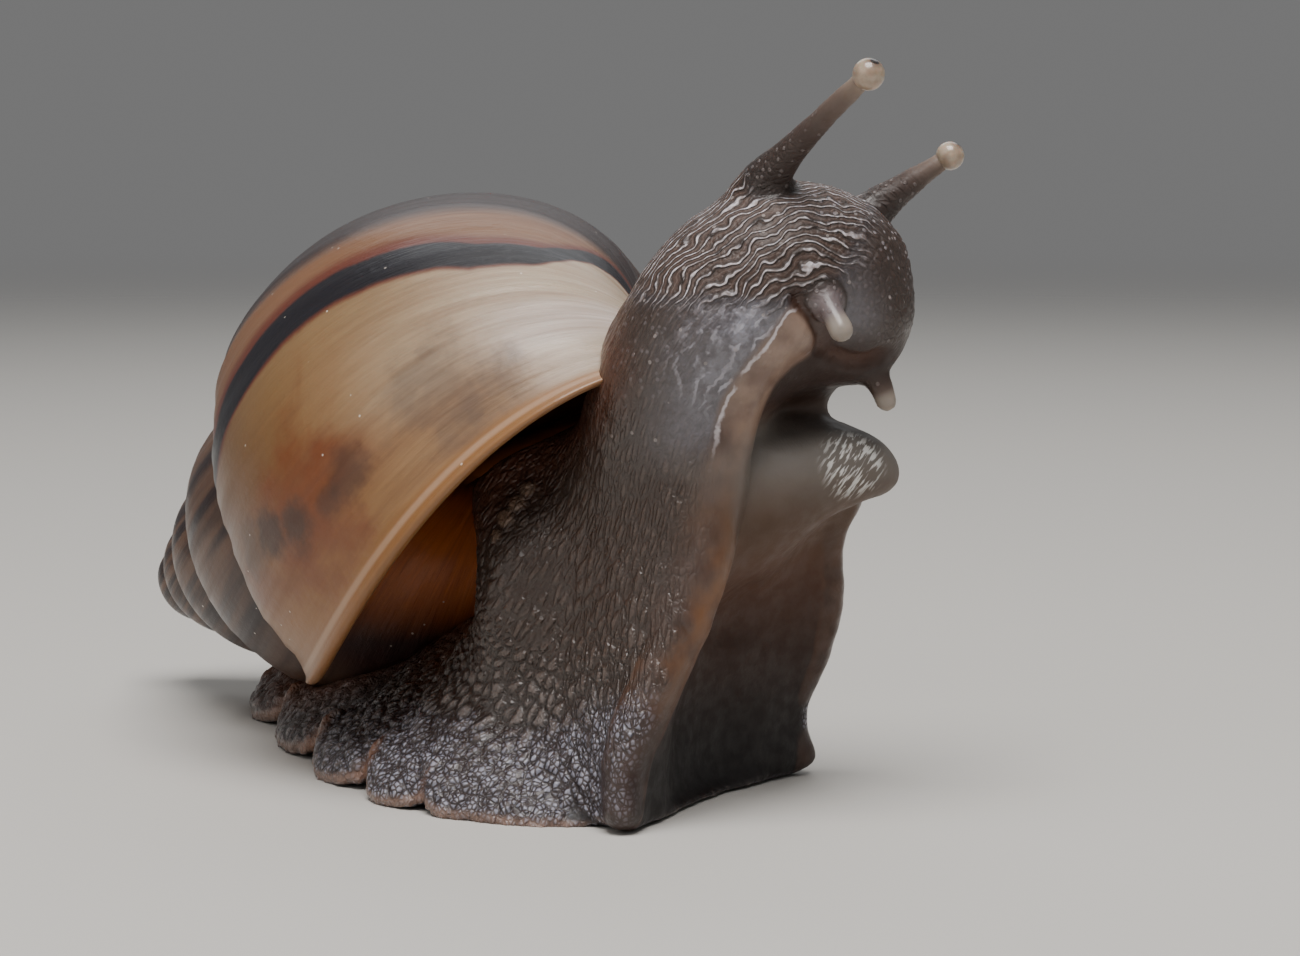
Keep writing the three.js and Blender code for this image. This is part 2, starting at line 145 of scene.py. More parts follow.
FEELERS = {  # x, y, z and radius, from inside the head to the tip
    "upper_right": [
        (16.8, 0.4, 38.0, 2.9), (19.6, -0.4, 41.0, 1.7), (25.2, -1.0, 45.2, 0.85), (30.4, -1.6, 48.5, 0.62),
    ],
    "upper_left": [
        (18.8, 7.0, 36.8, 2.7), (20.2, 9.4, 39.2, 1.6), (22.2, 11.6, 41.4, 0.9), (24.2, 13.2, 43.2, 0.62),
    ],
    "lower_right": [
        (21.6, 1.4, 35.4, 1.9), (24.4, 0.0, 35.0, 1.2), (26.2, -0.5, 33.6, 0.84), (27.3, -0.6, 32.2, 0.86),
    ],
    "lower_left": [
        (22.6, 5.0, 31.6, 1.8), (24.4, 4.6, 30.0, 1.1), (25.2, 5.2, 28.6, 0.85), (25.6, 5.6, 27.2, 0.75),
    ],
}
FLESH_NODES = (
    "tail", "foot_rear", "foot_front", "trunk", "foot_raised", "foot_lobe", "neck", "head",
    "feeler_upper_right", "feeler_upper_left", "feeler_lower_right", "feeler_lower_left",
)

# ------------------------------------------------------------------ curves and grids

MERGE_DISTANCE = 2e-6


def rise(value, low, high):
    """0 below low, 1 above high and smooth between, for numbers and arrays."""
    t = np.clip((np.asarray(value, float) - low) / (high - low), 0, 1)
    return t * t * (3 - 2 * t)


def smooth_values(values, u):
    """Smooth values through equally spaced samples, at places u from 0 to 1."""
    values = np.asarray(values, float)
    last = len(values) - 1
    i = np.minimum(np.floor(np.asarray(u) * last).astype(int), last - 1)
    t = (np.asarray(u) * last - i).reshape((-1,) + (1,) * (values.ndim - 1))
    a, b, c, d = (values[np.clip(i + k, 0, last)] for k in (-1, 0, 1, 2))
    return b + 0.5 * t * (c - a + t * (2 * a - 5 * b + 4 * c - d + t * (3 * (b - c) + d - a)))


def smooth_path(points, u, closed=False):
    """Points of a centripetal spline through the given ones, at places u from 0 to 1."""
    points = np.asarray(points, float)
    count = len(points)
    place = np.asarray(u, float) * (count if closed else count - 1)
    i = np.floor(place).astype(int)
    if not closed:
        i = np.minimum(i, count - 2)
    t = (place - i)[:, None]
    if closed:
        p0, p1, p2, p3 = (points[(i + k) % count] for k in (-1, 0, 1, 2))
    else:
        before = 2 * points[0] - points[1]
        after = 2 * points[-1] - points[-2]
        padded = np.vstack([before, points, after])
        p0, p1, p2, p3 = (padded[i + k] for k in (0, 1, 2, 3))
    d0, d1, d2 = (np.sqrt(np.linalg.norm(b - a, axis=1))[:, None] for a, b in ((p0, p1), (p1, p2), (p2, p3)))
    t1 = ((p1 - p0) / d0 - (p2 - p0) / (d0 + d1) + (p2 - p1) / d1) * d1
    t2 = ((p2 - p1) / d1 - (p3 - p1) / (d1 + d2) + (p3 - p2) / d2) * d1
    return p1 + t * (t1 + t * (3 * (p2 - p1) - 2 * t1 - t2 + t * (2 * (p1 - p2) + t1 + t2)))


def capped(u, cap):
    """Places along a tube whose ends close in a share of its length, and how far it is open there."""
    return np.clip((u - cap) / (1 - 2 * cap), 0, 1), np.clip(np.minimum(u, 1 - u) / cap, 0, 1)


def select_only(*objects):
    """Selects these objects and nothing else, and makes the first one active."""
    if bpy.context.object and bpy.context.object.mode != "OBJECT":
        bpy.ops.object.mode_set(mode="OBJECT")
    bpy.ops.object.select_all(action="DESELECT")
    for o in objects:
        o.select_set(True)
    bpy.context.view_layer.objects.active = objects[0]
    return objects[0]


def read_vectors(obj, field):
    """A vector of each vertex, as the mesh stores it."""
    values = np.empty(len(obj.data.vertices) * 3, np.float32)
    obj.data.vertices.foreach_get(field, values)
    return values.reshape(-1, 3)


def get_points(obj):
    """Vertices in the solids' layout."""
    return read_vectors(obj, "co").astype(float) / MM - SHIFT


def set_points(obj, points):
    """Moves the vertices to points of the solids' layout."""
    co = ((np.asarray(points) + SHIFT) * MM).astype(np.float32)
    obj.data.vertices.foreach_set("co", co.ravel())
    obj.data.update()


def get_normals(obj):
    """Normals of the vertices."""
    return read_vectors(obj, "normal").astype(float)


def wound_grid(name, around, along, place):
    """A grid primitive wound into a tube: place(u, v) gives the points, u runs along it and v round it."""
    bpy.ops.object.select_all(action="DESELECT")
    bpy.ops.mesh.primitive_grid_add(x_subdivisions=along, y_subdivisions=around, size=1, calc_uvs=True)
    obj = bpy.context.object
    obj.name = obj.data.name = name
    flat = read_vectors(obj, "co")
    set_points(obj, place(np.clip(flat[:, 0] + 0.5, 0, 1), np.clip(flat[:, 1] + 0.5, 0, 1)))
    bpy.ops.object.mode_set(mode="EDIT")
    bpy.ops.mesh.select_all(action="SELECT")
    bpy.ops.mesh.remove_doubles(threshold=MERGE_DISTANCE)
    bpy.ops.mesh.normals_make_consistent(inside=False)
    bpy.ops.object.mode_set(mode="OBJECT")
    return obj


def apply_modifier(obj, kind, **settings):
    """Adds a modifier with its settings and applies it."""
    select_only(obj)
    modifier = obj.modifiers.new(kind.title(), kind)
    for key, value in settings.items():
        setattr(modifier, key, value)
    bpy.ops.object.modifier_apply(modifier=modifier.name)


def join(objects, name):
    """Joins objects into the first one."""
    obj = select_only(*objects)
    if len(objects) > 1:
        bpy.ops.object.join()
    obj.name = obj.data.name = name
    return obj


def uneven(points, size, seed=0.0, octaves=3):
    """Smooth random values from about -1 to 1 at points in millimetres, with lumps of the given size."""
    offset = Vector((seed * 7.3, seed * -3.1, seed * 5.7))
    return np.array([noise.fractal(Vector(p) / size + offset, 1.0, 2.0, octaves) for p in points])


# ------------------------------------------------------------------ the spiral


def shell_basis():
    """The way out to the mouth, the way round and the axis, as rows."""
    turn, lift = math.radians(AXIS_TURN), math.radians(AXIS_RISE)
    axis = Vector((math.cos(lift) * math.cos(turn), math.cos(lift) * math.sin(turn), math.sin(lift)))
    up = (Vector((0, 0, 1)) - axis * axis.z).normalized()
    out = Matrix.Rotation(math.radians(MOUTH_ROLL), 3, axis) @ up
    return np.array([out, axis.cross(out), axis])


BASIS = shell_basis()


def whorl_scale(turn):
    """Size of the whorl's section next to the mouth's; turn is negative before the lip, in radians."""
    back = -np.asarray(turn) / (2 * math.pi)
    early = math.log(SHELL["spire_growth"])
    extra = (math.log(SHELL["growth"]) - early) / (1 - math.exp(-1))
    return np.exp(-(early * back + extra * (1 - np.exp(-back))))


def spiral_points(turn, around, grow=0.0, axis_gap=AXIS_GAP):
    """Points of the whorls, at a turn along them and an angle round their section, grown outwards."""
    s = SHELL
    wide = (s["half_width"] + grow) * np.cos(around)
    high = (s["half_height"] + grow) * np.sin(around)
    swept = turn + s["slant"] * np.sin(around)
    scale = whorl_scale(swept)
    out = s["radius"] + wide * math.cos(s["lean"]) - high * math.sin(s["lean"])
    along = wide * math.sin(s["lean"]) + high * math.cos(s["lean"])
    r = np.maximum(out, axis_gap / scale) * scale
    height = along * scale + s["axis_drop"] * scale ** s["drop_power"]
    local = np.stack([r * np.cos(swept), r * np.sin(swept), height], -1)
    return local @ BASIS + POLE


def section_middle(turn, grow=0.0):
    """Middle of the whorls' section at each turn."""
    start, half_round = np.zeros_like(turn), np.full_like(turn, math.pi)
    return (spiral_points(turn, start, grow) + spiral_points(turn, half_round, grow)) / 2


# ------------------------------------------------------------------ node helpers

PALETTE = {  # colours in display values from 0 to 255
    # the shell, from the seam of the whorls to the base, and its stains
    "seam": (100, 62, 30),
    "shoulder": (126, 90, 50),
    "honey": (144, 112, 78),
    "straw": (160, 136, 108),
    "olive": (132, 108, 76),
    "low_lip": (124, 72, 26),
    "golden": (146, 104, 58),
    # painted highlight: the whitish wash where light shines on the last whorl
    "worn": (206, 194, 190),
    "rust": (112, 62, 30),
    "behind_band": (126, 90, 64),
    "dusk": (52, 40, 40),
    "flame": (76, 53, 41),
    "spire_pale": (96, 70, 54),
    "spire_dark": (40, 27, 27),
    "band_edge": (96, 38, 26),
    # painted light: the whorl seen in the mouth, bright orange as light shining through the lip, then dark
    # lower down as painted shade
    "glaze": (224, 120, 44),
    "glaze_low": (52, 26, 22),
    "fine_line": (150, 128, 118),
    "broad_line": (190, 158, 130),
    "lip": (138, 94, 52),
    # painted highlight: the pale line along the rolled lip's crest
    "lip_crest": (190, 160, 136),
    "mouth_edge": (170, 100, 46),
    # painted shade: the inside of the mouth, darker deeper in
    "mouth_deep": (110, 56, 28),
    "shell_speck": (220, 208, 196),
    # the skin's cells, ridges and wet side
    "groove_high": (58, 45, 38),
    "cell_high": (84, 70, 62),
    "cell_head": (80, 62, 52),
    "cell_fleck": (64, 48, 40),
    "hollow": (72, 54, 46),
    "hollow_deep": (40, 29, 24),
    "hollow_edge": (42, 39, 46),
    "fine_ridge": (128, 112, 106),
    # painted highlights: pale and white lines on the wet crests of the neck's ridges
    "ridge": (148, 135, 132),
    "ridge_wet": (220, 213, 218),
    "face": (56, 43, 38),
    "wet_dark": (94, 92, 97),
    "wet_pale": (114, 111, 118),
    # painted reflections: the broad sheen and rippled highlights on the wet skin beside the rim
    "sheen": (158, 158, 168),
    "ripple": (184, 182, 192),
    "dot": (168, 160, 164),
    "skin_speck": (170, 160, 156),
    "shell_shade": (84, 46, 28),
    # painted shade: darker in the folds by the lower right feeler and the mouth
    "crease": (66, 38, 24),
    "bead": (120, 98, 82),
    # the foot's granules and margin
    "grain_groove": (56, 47, 47),
    "grain": (162, 162, 177),
    "margin": (146, 118, 104),
    # painted shade and light shining through the thin margin where it lifts
    "margin_lifted": (120, 78, 52),
    "blotch": (52, 38, 31),
    # the raised sole, its rims and the front lobe
    # painted shade: the trough goes near black towards the floor
    "sole_low": (16, 8, 7),
    "sole_top": (46, 28, 20),
    # painted shade: the rims darken low down
    "rim_low": (50, 35, 30),
    "rim": (116, 78, 48),
    "rim_high": (156, 132, 116),
    "rim_outside": (92, 73, 64),
    # painted shade: the rim darkens where it turns into the trough
    "rim_inside": (98, 58, 34),
    "rim_left": (72, 54, 46),
    "rim_mottle": (200, 186, 180),
    # painted highlight: the thin pale line along the right rim's edge, high up
    "rim_border": (198, 190, 192),
    # painted shade: the lobe's underside
    "lobe_low": (84, 62, 46),
    "lobe": (108, 101, 95),
    # painted highlight: wet white streaks on the lobe
    "lobe_streak": (214, 212, 208),
    # feelers and eyes
    "stem_root": (36, 25, 21),
    "stem": (66, 51, 45),
    "stem_pale": (104, 88, 79),
    "stem_tip": (150, 132, 116),
    "stem_lower": (112, 101, 102),
    "knob": (146, 136, 126),
    "stem_dot": (150, 140, 138),
    "bulb": (176, 158, 138),
    "bulb_shade": (150, 130, 112),
    "bulb_ring": (120, 100, 86),
}


def colour(r, g, b):
    """A linear colour from one in display values from 0 to 255."""
    linear = (((c / 255 + 0.055) / 1.055) ** 2.4 if c > 10 else c / 255 / 12.92 for c in (r, g, b))
    return (*linear, 1.0)


def tone(value):
    """A colour by its name in the settings or in PALETTE; anything else as it is."""
    if not isinstance(value, str):
        return value
    settings = bpy.context.scene.snail
    return tuple(getattr(settings, value)) if hasattr(settings, value) else colour(*PALETTE[value])


class Tree:
    """Short calls for building a node tree; a colour is given by its name."""

    def __init__(self, tree):
        self.tree = tree

    def node(self, kind, **settings):
        """A new node with its own settings."""
        made = self.tree.nodes.new(kind)
        for key, value in settings.items():
            setattr(made, key, value)
        return made

    def link(self, source, target):
        """Feeds a socket, or sets it to a number, a vector or a colour."""
        if isinstance(source, bpy.types.NodeSocket):
            self.tree.links.new(source, target)
        else:
            target.default_value = tone(source)

    def feed(self, made, **sources):
        """Feeds a node's sockets by their names."""
        for name, source in sources.items():
            self.link(source, made.inputs[name])

    def attribute(self, name, output="Fac"):
        """A value or vector stored on the mesh."""
        return self.node("ShaderNodeAttribute", attribute_name=name).outputs[output]

    def millimetres(self):
        """The place on the object."""
        return self.vector("SCALE", self.node("ShaderNodeTexCoord").outputs["Object"], scale=1 / MM)

    def math(self, operation, a, b=0.0, clamp=False):
        """One sum on two values."""
        made = self.node("ShaderNodeMath", operation=operation, use_clamp=clamp)
        self.link(a, made.inputs[0])
        self.link(b, made.inputs[1])
        return made.outputs[0]

    def times(self, first, *others):
        """The product of values."""
        for value in others:
            first = self.math("MULTIPLY", first, value)
        return first

    def most(self, first, *others):
        """The largest of values."""
        for value in others:
            first = self.math("MAXIMUM", first, value)
        return first

    def rest(self, *shares):
        """What the largest of the shares leaves of 1."""
        return self.math("SUBTRACT", 1.0, self.most(*shares))

    def vector(self, operation, a, b=(0, 0, 0), scale=None):
        """One sum on two vectors."""
        made = self.node("ShaderNodeVectorMath", operation=operation)
        self.link(a, made.inputs[0])
        self.link(b, made.inputs[1])
        if scale is not None:
            self.link(scale, made.inputs["Scale"])
        return made.outputs["Value" if operation in ("LENGTH", "DISTANCE", "DOT_PRODUCT") else "Vector"]

    def distance(self, place, spot):
        """Distance from a spot of the solids' layout."""
        return self.vector("DISTANCE", place, tuple(np.array(spot) + SHIFT))

    def split(self, vector):
        """The three parts of a vector."""
        made = self.node("ShaderNodeSeparateXYZ")
        self.link(vector, made.inputs[0])
        return made.outputs

    def combine(self, *parts):
        """A vector from its parts."""
        made = self.node("ShaderNodeCombineXYZ")
        for part, socket in zip(parts, made.inputs):
            self.link(part, socket)
        return made.outputs[0]

    def spread(self, value, low, high, to_low=0.0, to_high=1.0):
        """value from low..high to to_low..to_high, smoothly and held at the ends."""
        made = self.node("ShaderNodeMapRange", interpolation_type="SMOOTHSTEP")
        for source, socket in zip((value, low, high, to_low, to_high), made.inputs):
            self.link(source, socket)
        return made.outputs[0]

    def fade(self, value, low, full, *end):
        """A share that grows from low to full and, with two more limits, goes again between those."""
        share = self.spread(value, low, full)
        return self.times(share, self.spread(value, end[1], end[0])) if end else share

    def noise(self, coordinate, scale, detail=3.0, roughness=0.5, distortion=0.0):
        """Uneven values about 0.5."""
        made = self.node("ShaderNodeTexNoise")
        self.feed(made, Vector=coordinate, Scale=scale, Detail=detail)
        self.feed(made, Roughness=roughness, Distortion=distortion)
        return made.outputs[0]

    def noise_vector(self, coordinate, scale):
        """Uneven vectors about 0."""
        made = self.node("ShaderNodeTexNoise")
        self.feed(made, Vector=coordinate, Scale=scale)
        return self.vector("SUBTRACT", made.outputs["Color"], (0.5, 0.5, 0.5))

    def cells(self, coordinate, scale, feature="DISTANCE_TO_EDGE", randomness=1.0):
        """Distance from the edge or the middle of the nearest cell."""
        made = self.node("ShaderNodeTexVoronoi", feature=feature)
        self.feed(made, Vector=coordinate, Scale=scale, Randomness=randomness)
        return made.outputs["Distance"]

    def mix(self, share, a, b, blend="MIX"):
        """a with a share of b."""
        made = self.node("ShaderNodeMix", data_type="RGBA", blend_type=blend)
        self.link(share, made.inputs[0])
        self.link(a, made.inputs[6])
        self.link(b, made.inputs[7])
        return made.outputs[2]

    def tint(self, base, name, *shares):
        """base with a named colour over it, by the product of the shares."""
        return self.mix(self.times(*shares), base, name)

    def ramp(self, value, stops):
        """A colour that runs through stops, each a place from 0 to 1 and a colour."""
        made = self.node("ShaderNodeValToRGB")
        elements = made.color_ramp.elements
        while len(elements) < len(stops):
            elements.new(1.0)
        for element, (place, name) in zip(elements, stops):
            element.position = place
            element.color = tone(name)
        self.link(value, made.inputs[0])
        return made.outputs[0]

    def bump(self, height, distance, normal=None):
        """Bump over the bump before it."""
        made = self.node("ShaderNodeBump")
        self.feed(made, Height=height, Distance=distance, Strength=1.0)
        if normal is not None:
            self.link(normal, made.inputs["Normal"])
        return made.outputs[0]


def new_material(name, kind=Tree):
    """A material, its node tree and its shader."""
    material = bpy.data.materials.new(name)
    material.use_nodes = True
    return material, kind(material.node_tree), material.node_tree.nodes["Principled BSDF"]


def set_finish(shader, values):
    """Sets the shader's own sockets, which are the same all over."""
    for name, value in values.items():
        shader.inputs[name].default_value = value


def dress(obj, material):
    """Smooths a finished piece and gives it its material."""
    select_only(obj)
    bpy.ops.object.shade_smooth()
    obj.data.materials.clear()
    obj.data.materials.append(material)


# ------------------------------------------------------------------ shell

OUTER_SHARE = 0.86  # share of the grid's length that is the outside of the tube
LIP_SHARE = 0.03  # share that goes round the lip; what is left is the inside of the mouth
FIRST_TURN = -2 * math.pi * SHELL["whorls"]
TURN_POWER = 0.62  # brings the outside's rings closer together towards the lip
INNER_TURN = -2.4  # how far the inside of the mouth is drawn, radians
INNER_POWER = 1.3  # brings its rings closer together towards the lip
INNER_AXIS_GAP = 1.3  # how near it comes to the axis
INNER_INSET = 1.0  # how far it lies inside the solid, once it has left the lip
RELIEF_INSET = 0.3  # the growth lines rise from a surface this far inside the solid
LIP_OUTSIDE = 0.37  # how far the lip's edge stands over the solid
LIP_WALL = 1.25
LIP_REACH = 0.026  # how far the lip's rounded edge goes past the mouth, radians
BEAD_TURN = -0.018  # where the rolled lip stands out most, radians
BEAD_REACH = 0.022


def outer_turn(u):
    """Turn of the outside's rings, u from 0 at the apex to 1 at the lip."""
    return FIRST_TURN * (1 - u ** TURN_POWER)


def ledge(turn, place, reach=0.02):
    """1 on the growth line at a place, and 0 away from it."""
    return np.exp(-((turn - place) / reach) ** 2)


def shell_relief(turn, around):
    """Growth lines that stand out of the shell's outside, in millimetres next to the mouth's scale."""
    fine = 0.05 * np.sin(turn * 61 + 2.2 * np.sin(turn * 7.3))
    broad = 0.04 * np.sin(turn * 37 + 1.4 * np.sin(around * 2 + turn * 3))
    steps = 0.10 * ledge(turn, DARK_BAND + 0.09) - 0.09 * ledge(turn, -0.085)
    swell = 0.16 * np.sin(turn * 9.1 + 0.8) * np.sin(turn * 4.3)
    return (fine + broad) * rise(turn, -9, -5) + steps + swell * rise(turn, -8, -4) - RELIEF_INSET


def place_shell(u, v):
    """Points of the shell's tube: from the apex along the outside, round the lip and into the mouth."""
    around = 2 * math.pi * v
    inner_start = OUTER_SHARE + LIP_SHARE
    outer, inner = u <= OUTER_SHARE, u >= inner_start
    turn, grow = np.zeros_like(u), np.zeros_like(u)
    turn[outer] = outer_turn(u[outer] / OUTER_SHARE)
    bead = bpy.context.scene.snail.lip_bead / MM * ledge(turn[outer], BEAD_TURN, BEAD_REACH)
    grow[outer] = shell_relief(turn[outer], around[outer]) + bead
    edge = ~outer & ~inner
    bend = (u[edge] - OUTER_SHARE) / LIP_SHARE * math.pi
    turn[edge] = LIP_REACH * np.sin(bend)
    grow[edge] = LIP_OUTSIDE - LIP_WALL / 2 + LIP_WALL / 2 * np.cos(bend)
    depth = np.clip((u[inner] - inner_start) / (1 - inner_start), 0, 1)
    behind_lip = rise(depth, 0, 0.2)
    turn[inner] = INNER_TURN * depth ** INNER_POWER
    grow[inner] = (LIP_OUTSIDE - LIP_WALL) * (1 - behind_lip) - INNER_INSET * behind_lip
    points = spiral_points(turn, around, grow, np.where(outer, AXIS_GAP, INNER_AXIS_GAP))
    # both ends close over: the rings shrink to the middle of their section
    close = np.sqrt(np.clip(rise(u, 0, 0.02) * (1 - rise(u, 0.985, 1.0)), 0, 1))
    middle = section_middle(turn)
    return middle + (points - middle) * close[:, None]


# ------------------------------------------------------------------ the shell's look

# a place along the shell is a turn in radians, 0 at the lip and negative before it; a place round the section
# is -1 by the seam of the whorls and 1 at the base
WASHES = [  # tints of the last whorl: colour, strength, and where they grow along the turn and the section
    ("olive", 0.5, (-0.5, -0.85), (0.7, 0.1)),
    ("low_lip", 0.8, (-0.4, -0.1), (0.3, -0.5)),
    ("golden", 0.7, (-0.42, -0.16), (0.95, 0.5)),
    # the whitish wash is a painted highlight where light shines on the whorl
    ("worn", 0.5, (-0.62, -0.42, -0.34, -0.16), (0.45, 0.85)),
]
SMUDGES = [  # place, reach, strength and colour of the shell's worn and stained marks
    ((-5.4, -19.0, 19.6), 6.4, 0.7, (116, 56, 20)),
    ((-9.4, -18.6, 17.4), 2.2, 0.8, (54, 36, 27)),
    ((-12.6, -18.0, 16.2), 2.4, 0.5, (62, 42, 30)),
    ((-6.2, -18.9, 18.4), 2.2, 0.8, (58, 38, 28)),
    ((-1.2, -18.5, 22.2), 2.2, 0.65, (70, 46, 33)),
    ((-2.6, -18.8, 20.2), 1.6, 0.6, (72, 48, 34)),
    ((5.0, -15.0, 28.6), 5.0, 0.5, (92, 78, 72)),
    ((8.4, -14.0, 29.0), 3.4, 0.35, (96, 82, 76)),
]
GROWTH_STRETCH = 14.0  # how much closer the streaks lie along the turn than round the section
WANDER = 0.05  # how far clouds shift the colours along the turn


class ShellTree(Tree):
    """The shell's node tree, with the places and the uneven values that its looks share."""

    def __init__(self, tree):
        super().__init__(tree)
        self.u, v, _ = self.split(self.node("ShaderNodeTexCoord").outputs["UV"])
        self.here = self.millimetres()
        share = self.math("POWER", self.math("DIVIDE", self.u, OUTER_SHARE, clamp=True), TURN_POWER)
        self.turn = self.times(self.rest(share), FIRST_TURN)
        self.section = self.math("SINE", self.times(v, 2 * math.pi))
        self.growth = self.combine(self.times(self.turn, GROWTH_STRETCH), self.section)
        self.lines = self.noise(self.growth, 3.2, 5.0, 0.7)
        self.streaks = self.noise(self.growth, 0.8, 3.0)
        self.lined = self.spread(self.section, -0.4, 0.5, 0.35, 1.0)  # the lines fade towards the seam
        self.clouds = self.noise(self.here, 0.11, 4.0, 0.55, 0.6)
        wander = self.times(self.math("SUBTRACT", self.clouds, 0.5), WANDER)
        self.placed = self.math("ADD", self.turn, wander)


def last_whorl(t):
    """The last whorl: orange-brown by the seam, honey, then pale towards the base, with its stains and a
    painted highlight.
    """
    stops = ((0.0, "seam"), (0.3, "shoulder"), (0.52, "honey"), (0.72, "straw"), (1.0, "base_colour"))
    body = t.ramp(t.spread(t.section, -1.0, 1.0), stops)
    for name, strength, along, round_it in WASHES:
        body = t.tint(body, name, t.fade(t.placed, *along), t.fade(t.section, *round_it), strength)
    rusty = t.times(t.fade(t.placed, -0.85, -0.6, -0.3, -0.1), t.spread(t.section, 0.35, -0.1))
    body = t.tint(body, "rust", rusty, t.spread(t.clouds, 0.40, 0.62), 0.7)
    ragged = t.math("SUBTRACT", t.noise(t.here, 0.3, 4.0, 0.6), 0.5)
    for spot, reach, strength, stain in SMUDGES:
        from_it = t.math("ADD", t.distance(t.here, spot), t.times(ragged, 1.9 * reach))
        share = t.times(t.spread(from_it, 1.15 * reach, 0.35 * reach), strength)
        body = t.mix(share, body, colour(*stain))
    return body


def spire(t):
    """The shell behind the dark band: plain, then flamed, and darker on its first whorls."""
    behind = t.mix(t.spread(t.placed, -1.17, -1.32), "behind_band", "dusk")
    flames = t.spread(t.noise(t.growth, 0.24, 3.0, 0.5), 0.44, 0.56)
    behind = t.tint(behind, "flame", flames, t.spread(t.placed, -1.5, -2.2))
    early = t.mix(t.spread(t.noise(t.growth, 0.3, 3.0, 0.5), 0.4, 0.58), "spire_pale", "spire_dark")
    return t.mix(t.spread(t.turn, -4.5, -7.0), behind, early)


def banded(t, body, behind):
    """The dark band, red-brown on both sides and bent forward at the seam and the base."""
    bend = t.math("POWER", t.math("ABSOLUTE", t.math("ADD", t.section, 0.1)), 2.0)
    bend = t.math("MINIMUM", t.times(bend, 0.25), t.spread(t.section, 0.75, 1.0, 0.11, -0.2))
    off = t.math("SUBTRACT", t.math("SUBTRACT", t.placed, DARK_BAND), bend)
    horn = t.mix(t.spread(off, 0.01, -0.02), body, behind)
    horn = t.tint(horn, "band_edge", t.fade(off, -0.17, -0.09, 0.095, 0.125), 0.9)
    return t.tint(horn, "band_colour", t.fade(off, -0.085, -0.06, 0.08, 0.105))


def lip_and_mouth(t, horn):
    """The glazed whorl in the mouth with painted light and shade, the growth lines, the pale lip with its
    painted highlight, the inside with painted shade deeper in, and a few specks.
    """
    # painted light and shade: the whorl in the mouth is bright orange as light through the lip, darker lower
    # down
    seen_in_mouth = t.times(t.fade(t.turn, -6.35, -6.1, -4.8, -4.5), t.spread(t.section, -0.25, 0.05))
    horn = t.mix(seen_in_mouth, horn, t.mix(t.spread(t.split(t.here)[2], 13.0, 7.5), "glaze", "glaze_low"))
    horn = t.mix(t.times(t.spread(t.lines, 0.3, 0.75, 0.0, 0.32), t.lined), horn, "fine_line", "MULTIPLY")
    horn = t.mix(t.times(t.spread(t.streaks, 0.4, 0.75, 0.0, 0.4), t.lined), horn, "broad_line", "MULTIPLY")
    lip = t.times(t.spread(t.turn, -0.07, -0.035), t.spread(t.u, OUTER_SHARE + 0.03, OUTER_SHARE + 0.01))
    horn = t.tint(horn, "lip", lip, 0.85)
    # painted highlight along the crest of the rolled lip
    horn = t.tint(horn, "lip_crest", t.fade(t.turn, -0.045, -0.032, -0.025, -0.012), 0.45)
    # painted shade: the inside of the mouth darkens away from the lip
    inner = t.mix(t.spread(t.u, 0.885, 0.95), "mouth_edge", "mouth_deep")
    horn = t.mix(t.spread(t.u, OUTER_SHARE + 0.012, OUTER_SHARE + 0.03), horn, inner)
    return t.tint(horn, "shell_speck", t.math("LESS_THAN", t.cells(t.here, 0.5, "F1"), 0.045), 0.7)


def shell_material():
    """Shell: colours laid along its growth lines, from the turn and the place round the section."""
    material, t, shader = new_material("shell_horn", ShellTree)
    t.link(lip_and_mouth(t, banded(t, last_whorl(t), spire(t))), shader.inputs["Base Color"])
    t.link(t.spread(t.streaks, 0.3, 0.7, 0.32, 0.46), shader.inputs["Roughness"])
    set_finish(shader, {
        "Coat Weight": 0.2, "Coat Roughness": 0.2, "Subsurface Weight": 0.06, "Subsurface Scale": 1.0 * MM,
    })
    fine = t.bump(t.times(t.lines, t.lined), 0.09 * MM)
    t.link(t.bump(t.noise(t.here, 1.6, 3.0), 0.03 * MM, fine), shader.inputs["Normal"])
    return material


# ------------------------------------------------------------------ settings and the shell's operator


def length(name, description, default, low, high):
    """A length as a property, given in millimetres."""
    return bpy.props.FloatProperty(
        name=name, description=description, default=default * MM, min=low * MM, max=high * MM,
        precision=5, unit="LENGTH", subtype="DISTANCE",
    )


def paint(name, description, default):
    """A linear colour as a property."""
    return bpy.props.FloatVectorProperty(
        name=name, description=description, default=default, size=4, min=0.0, max=1.0, subtype="COLOR",
    )


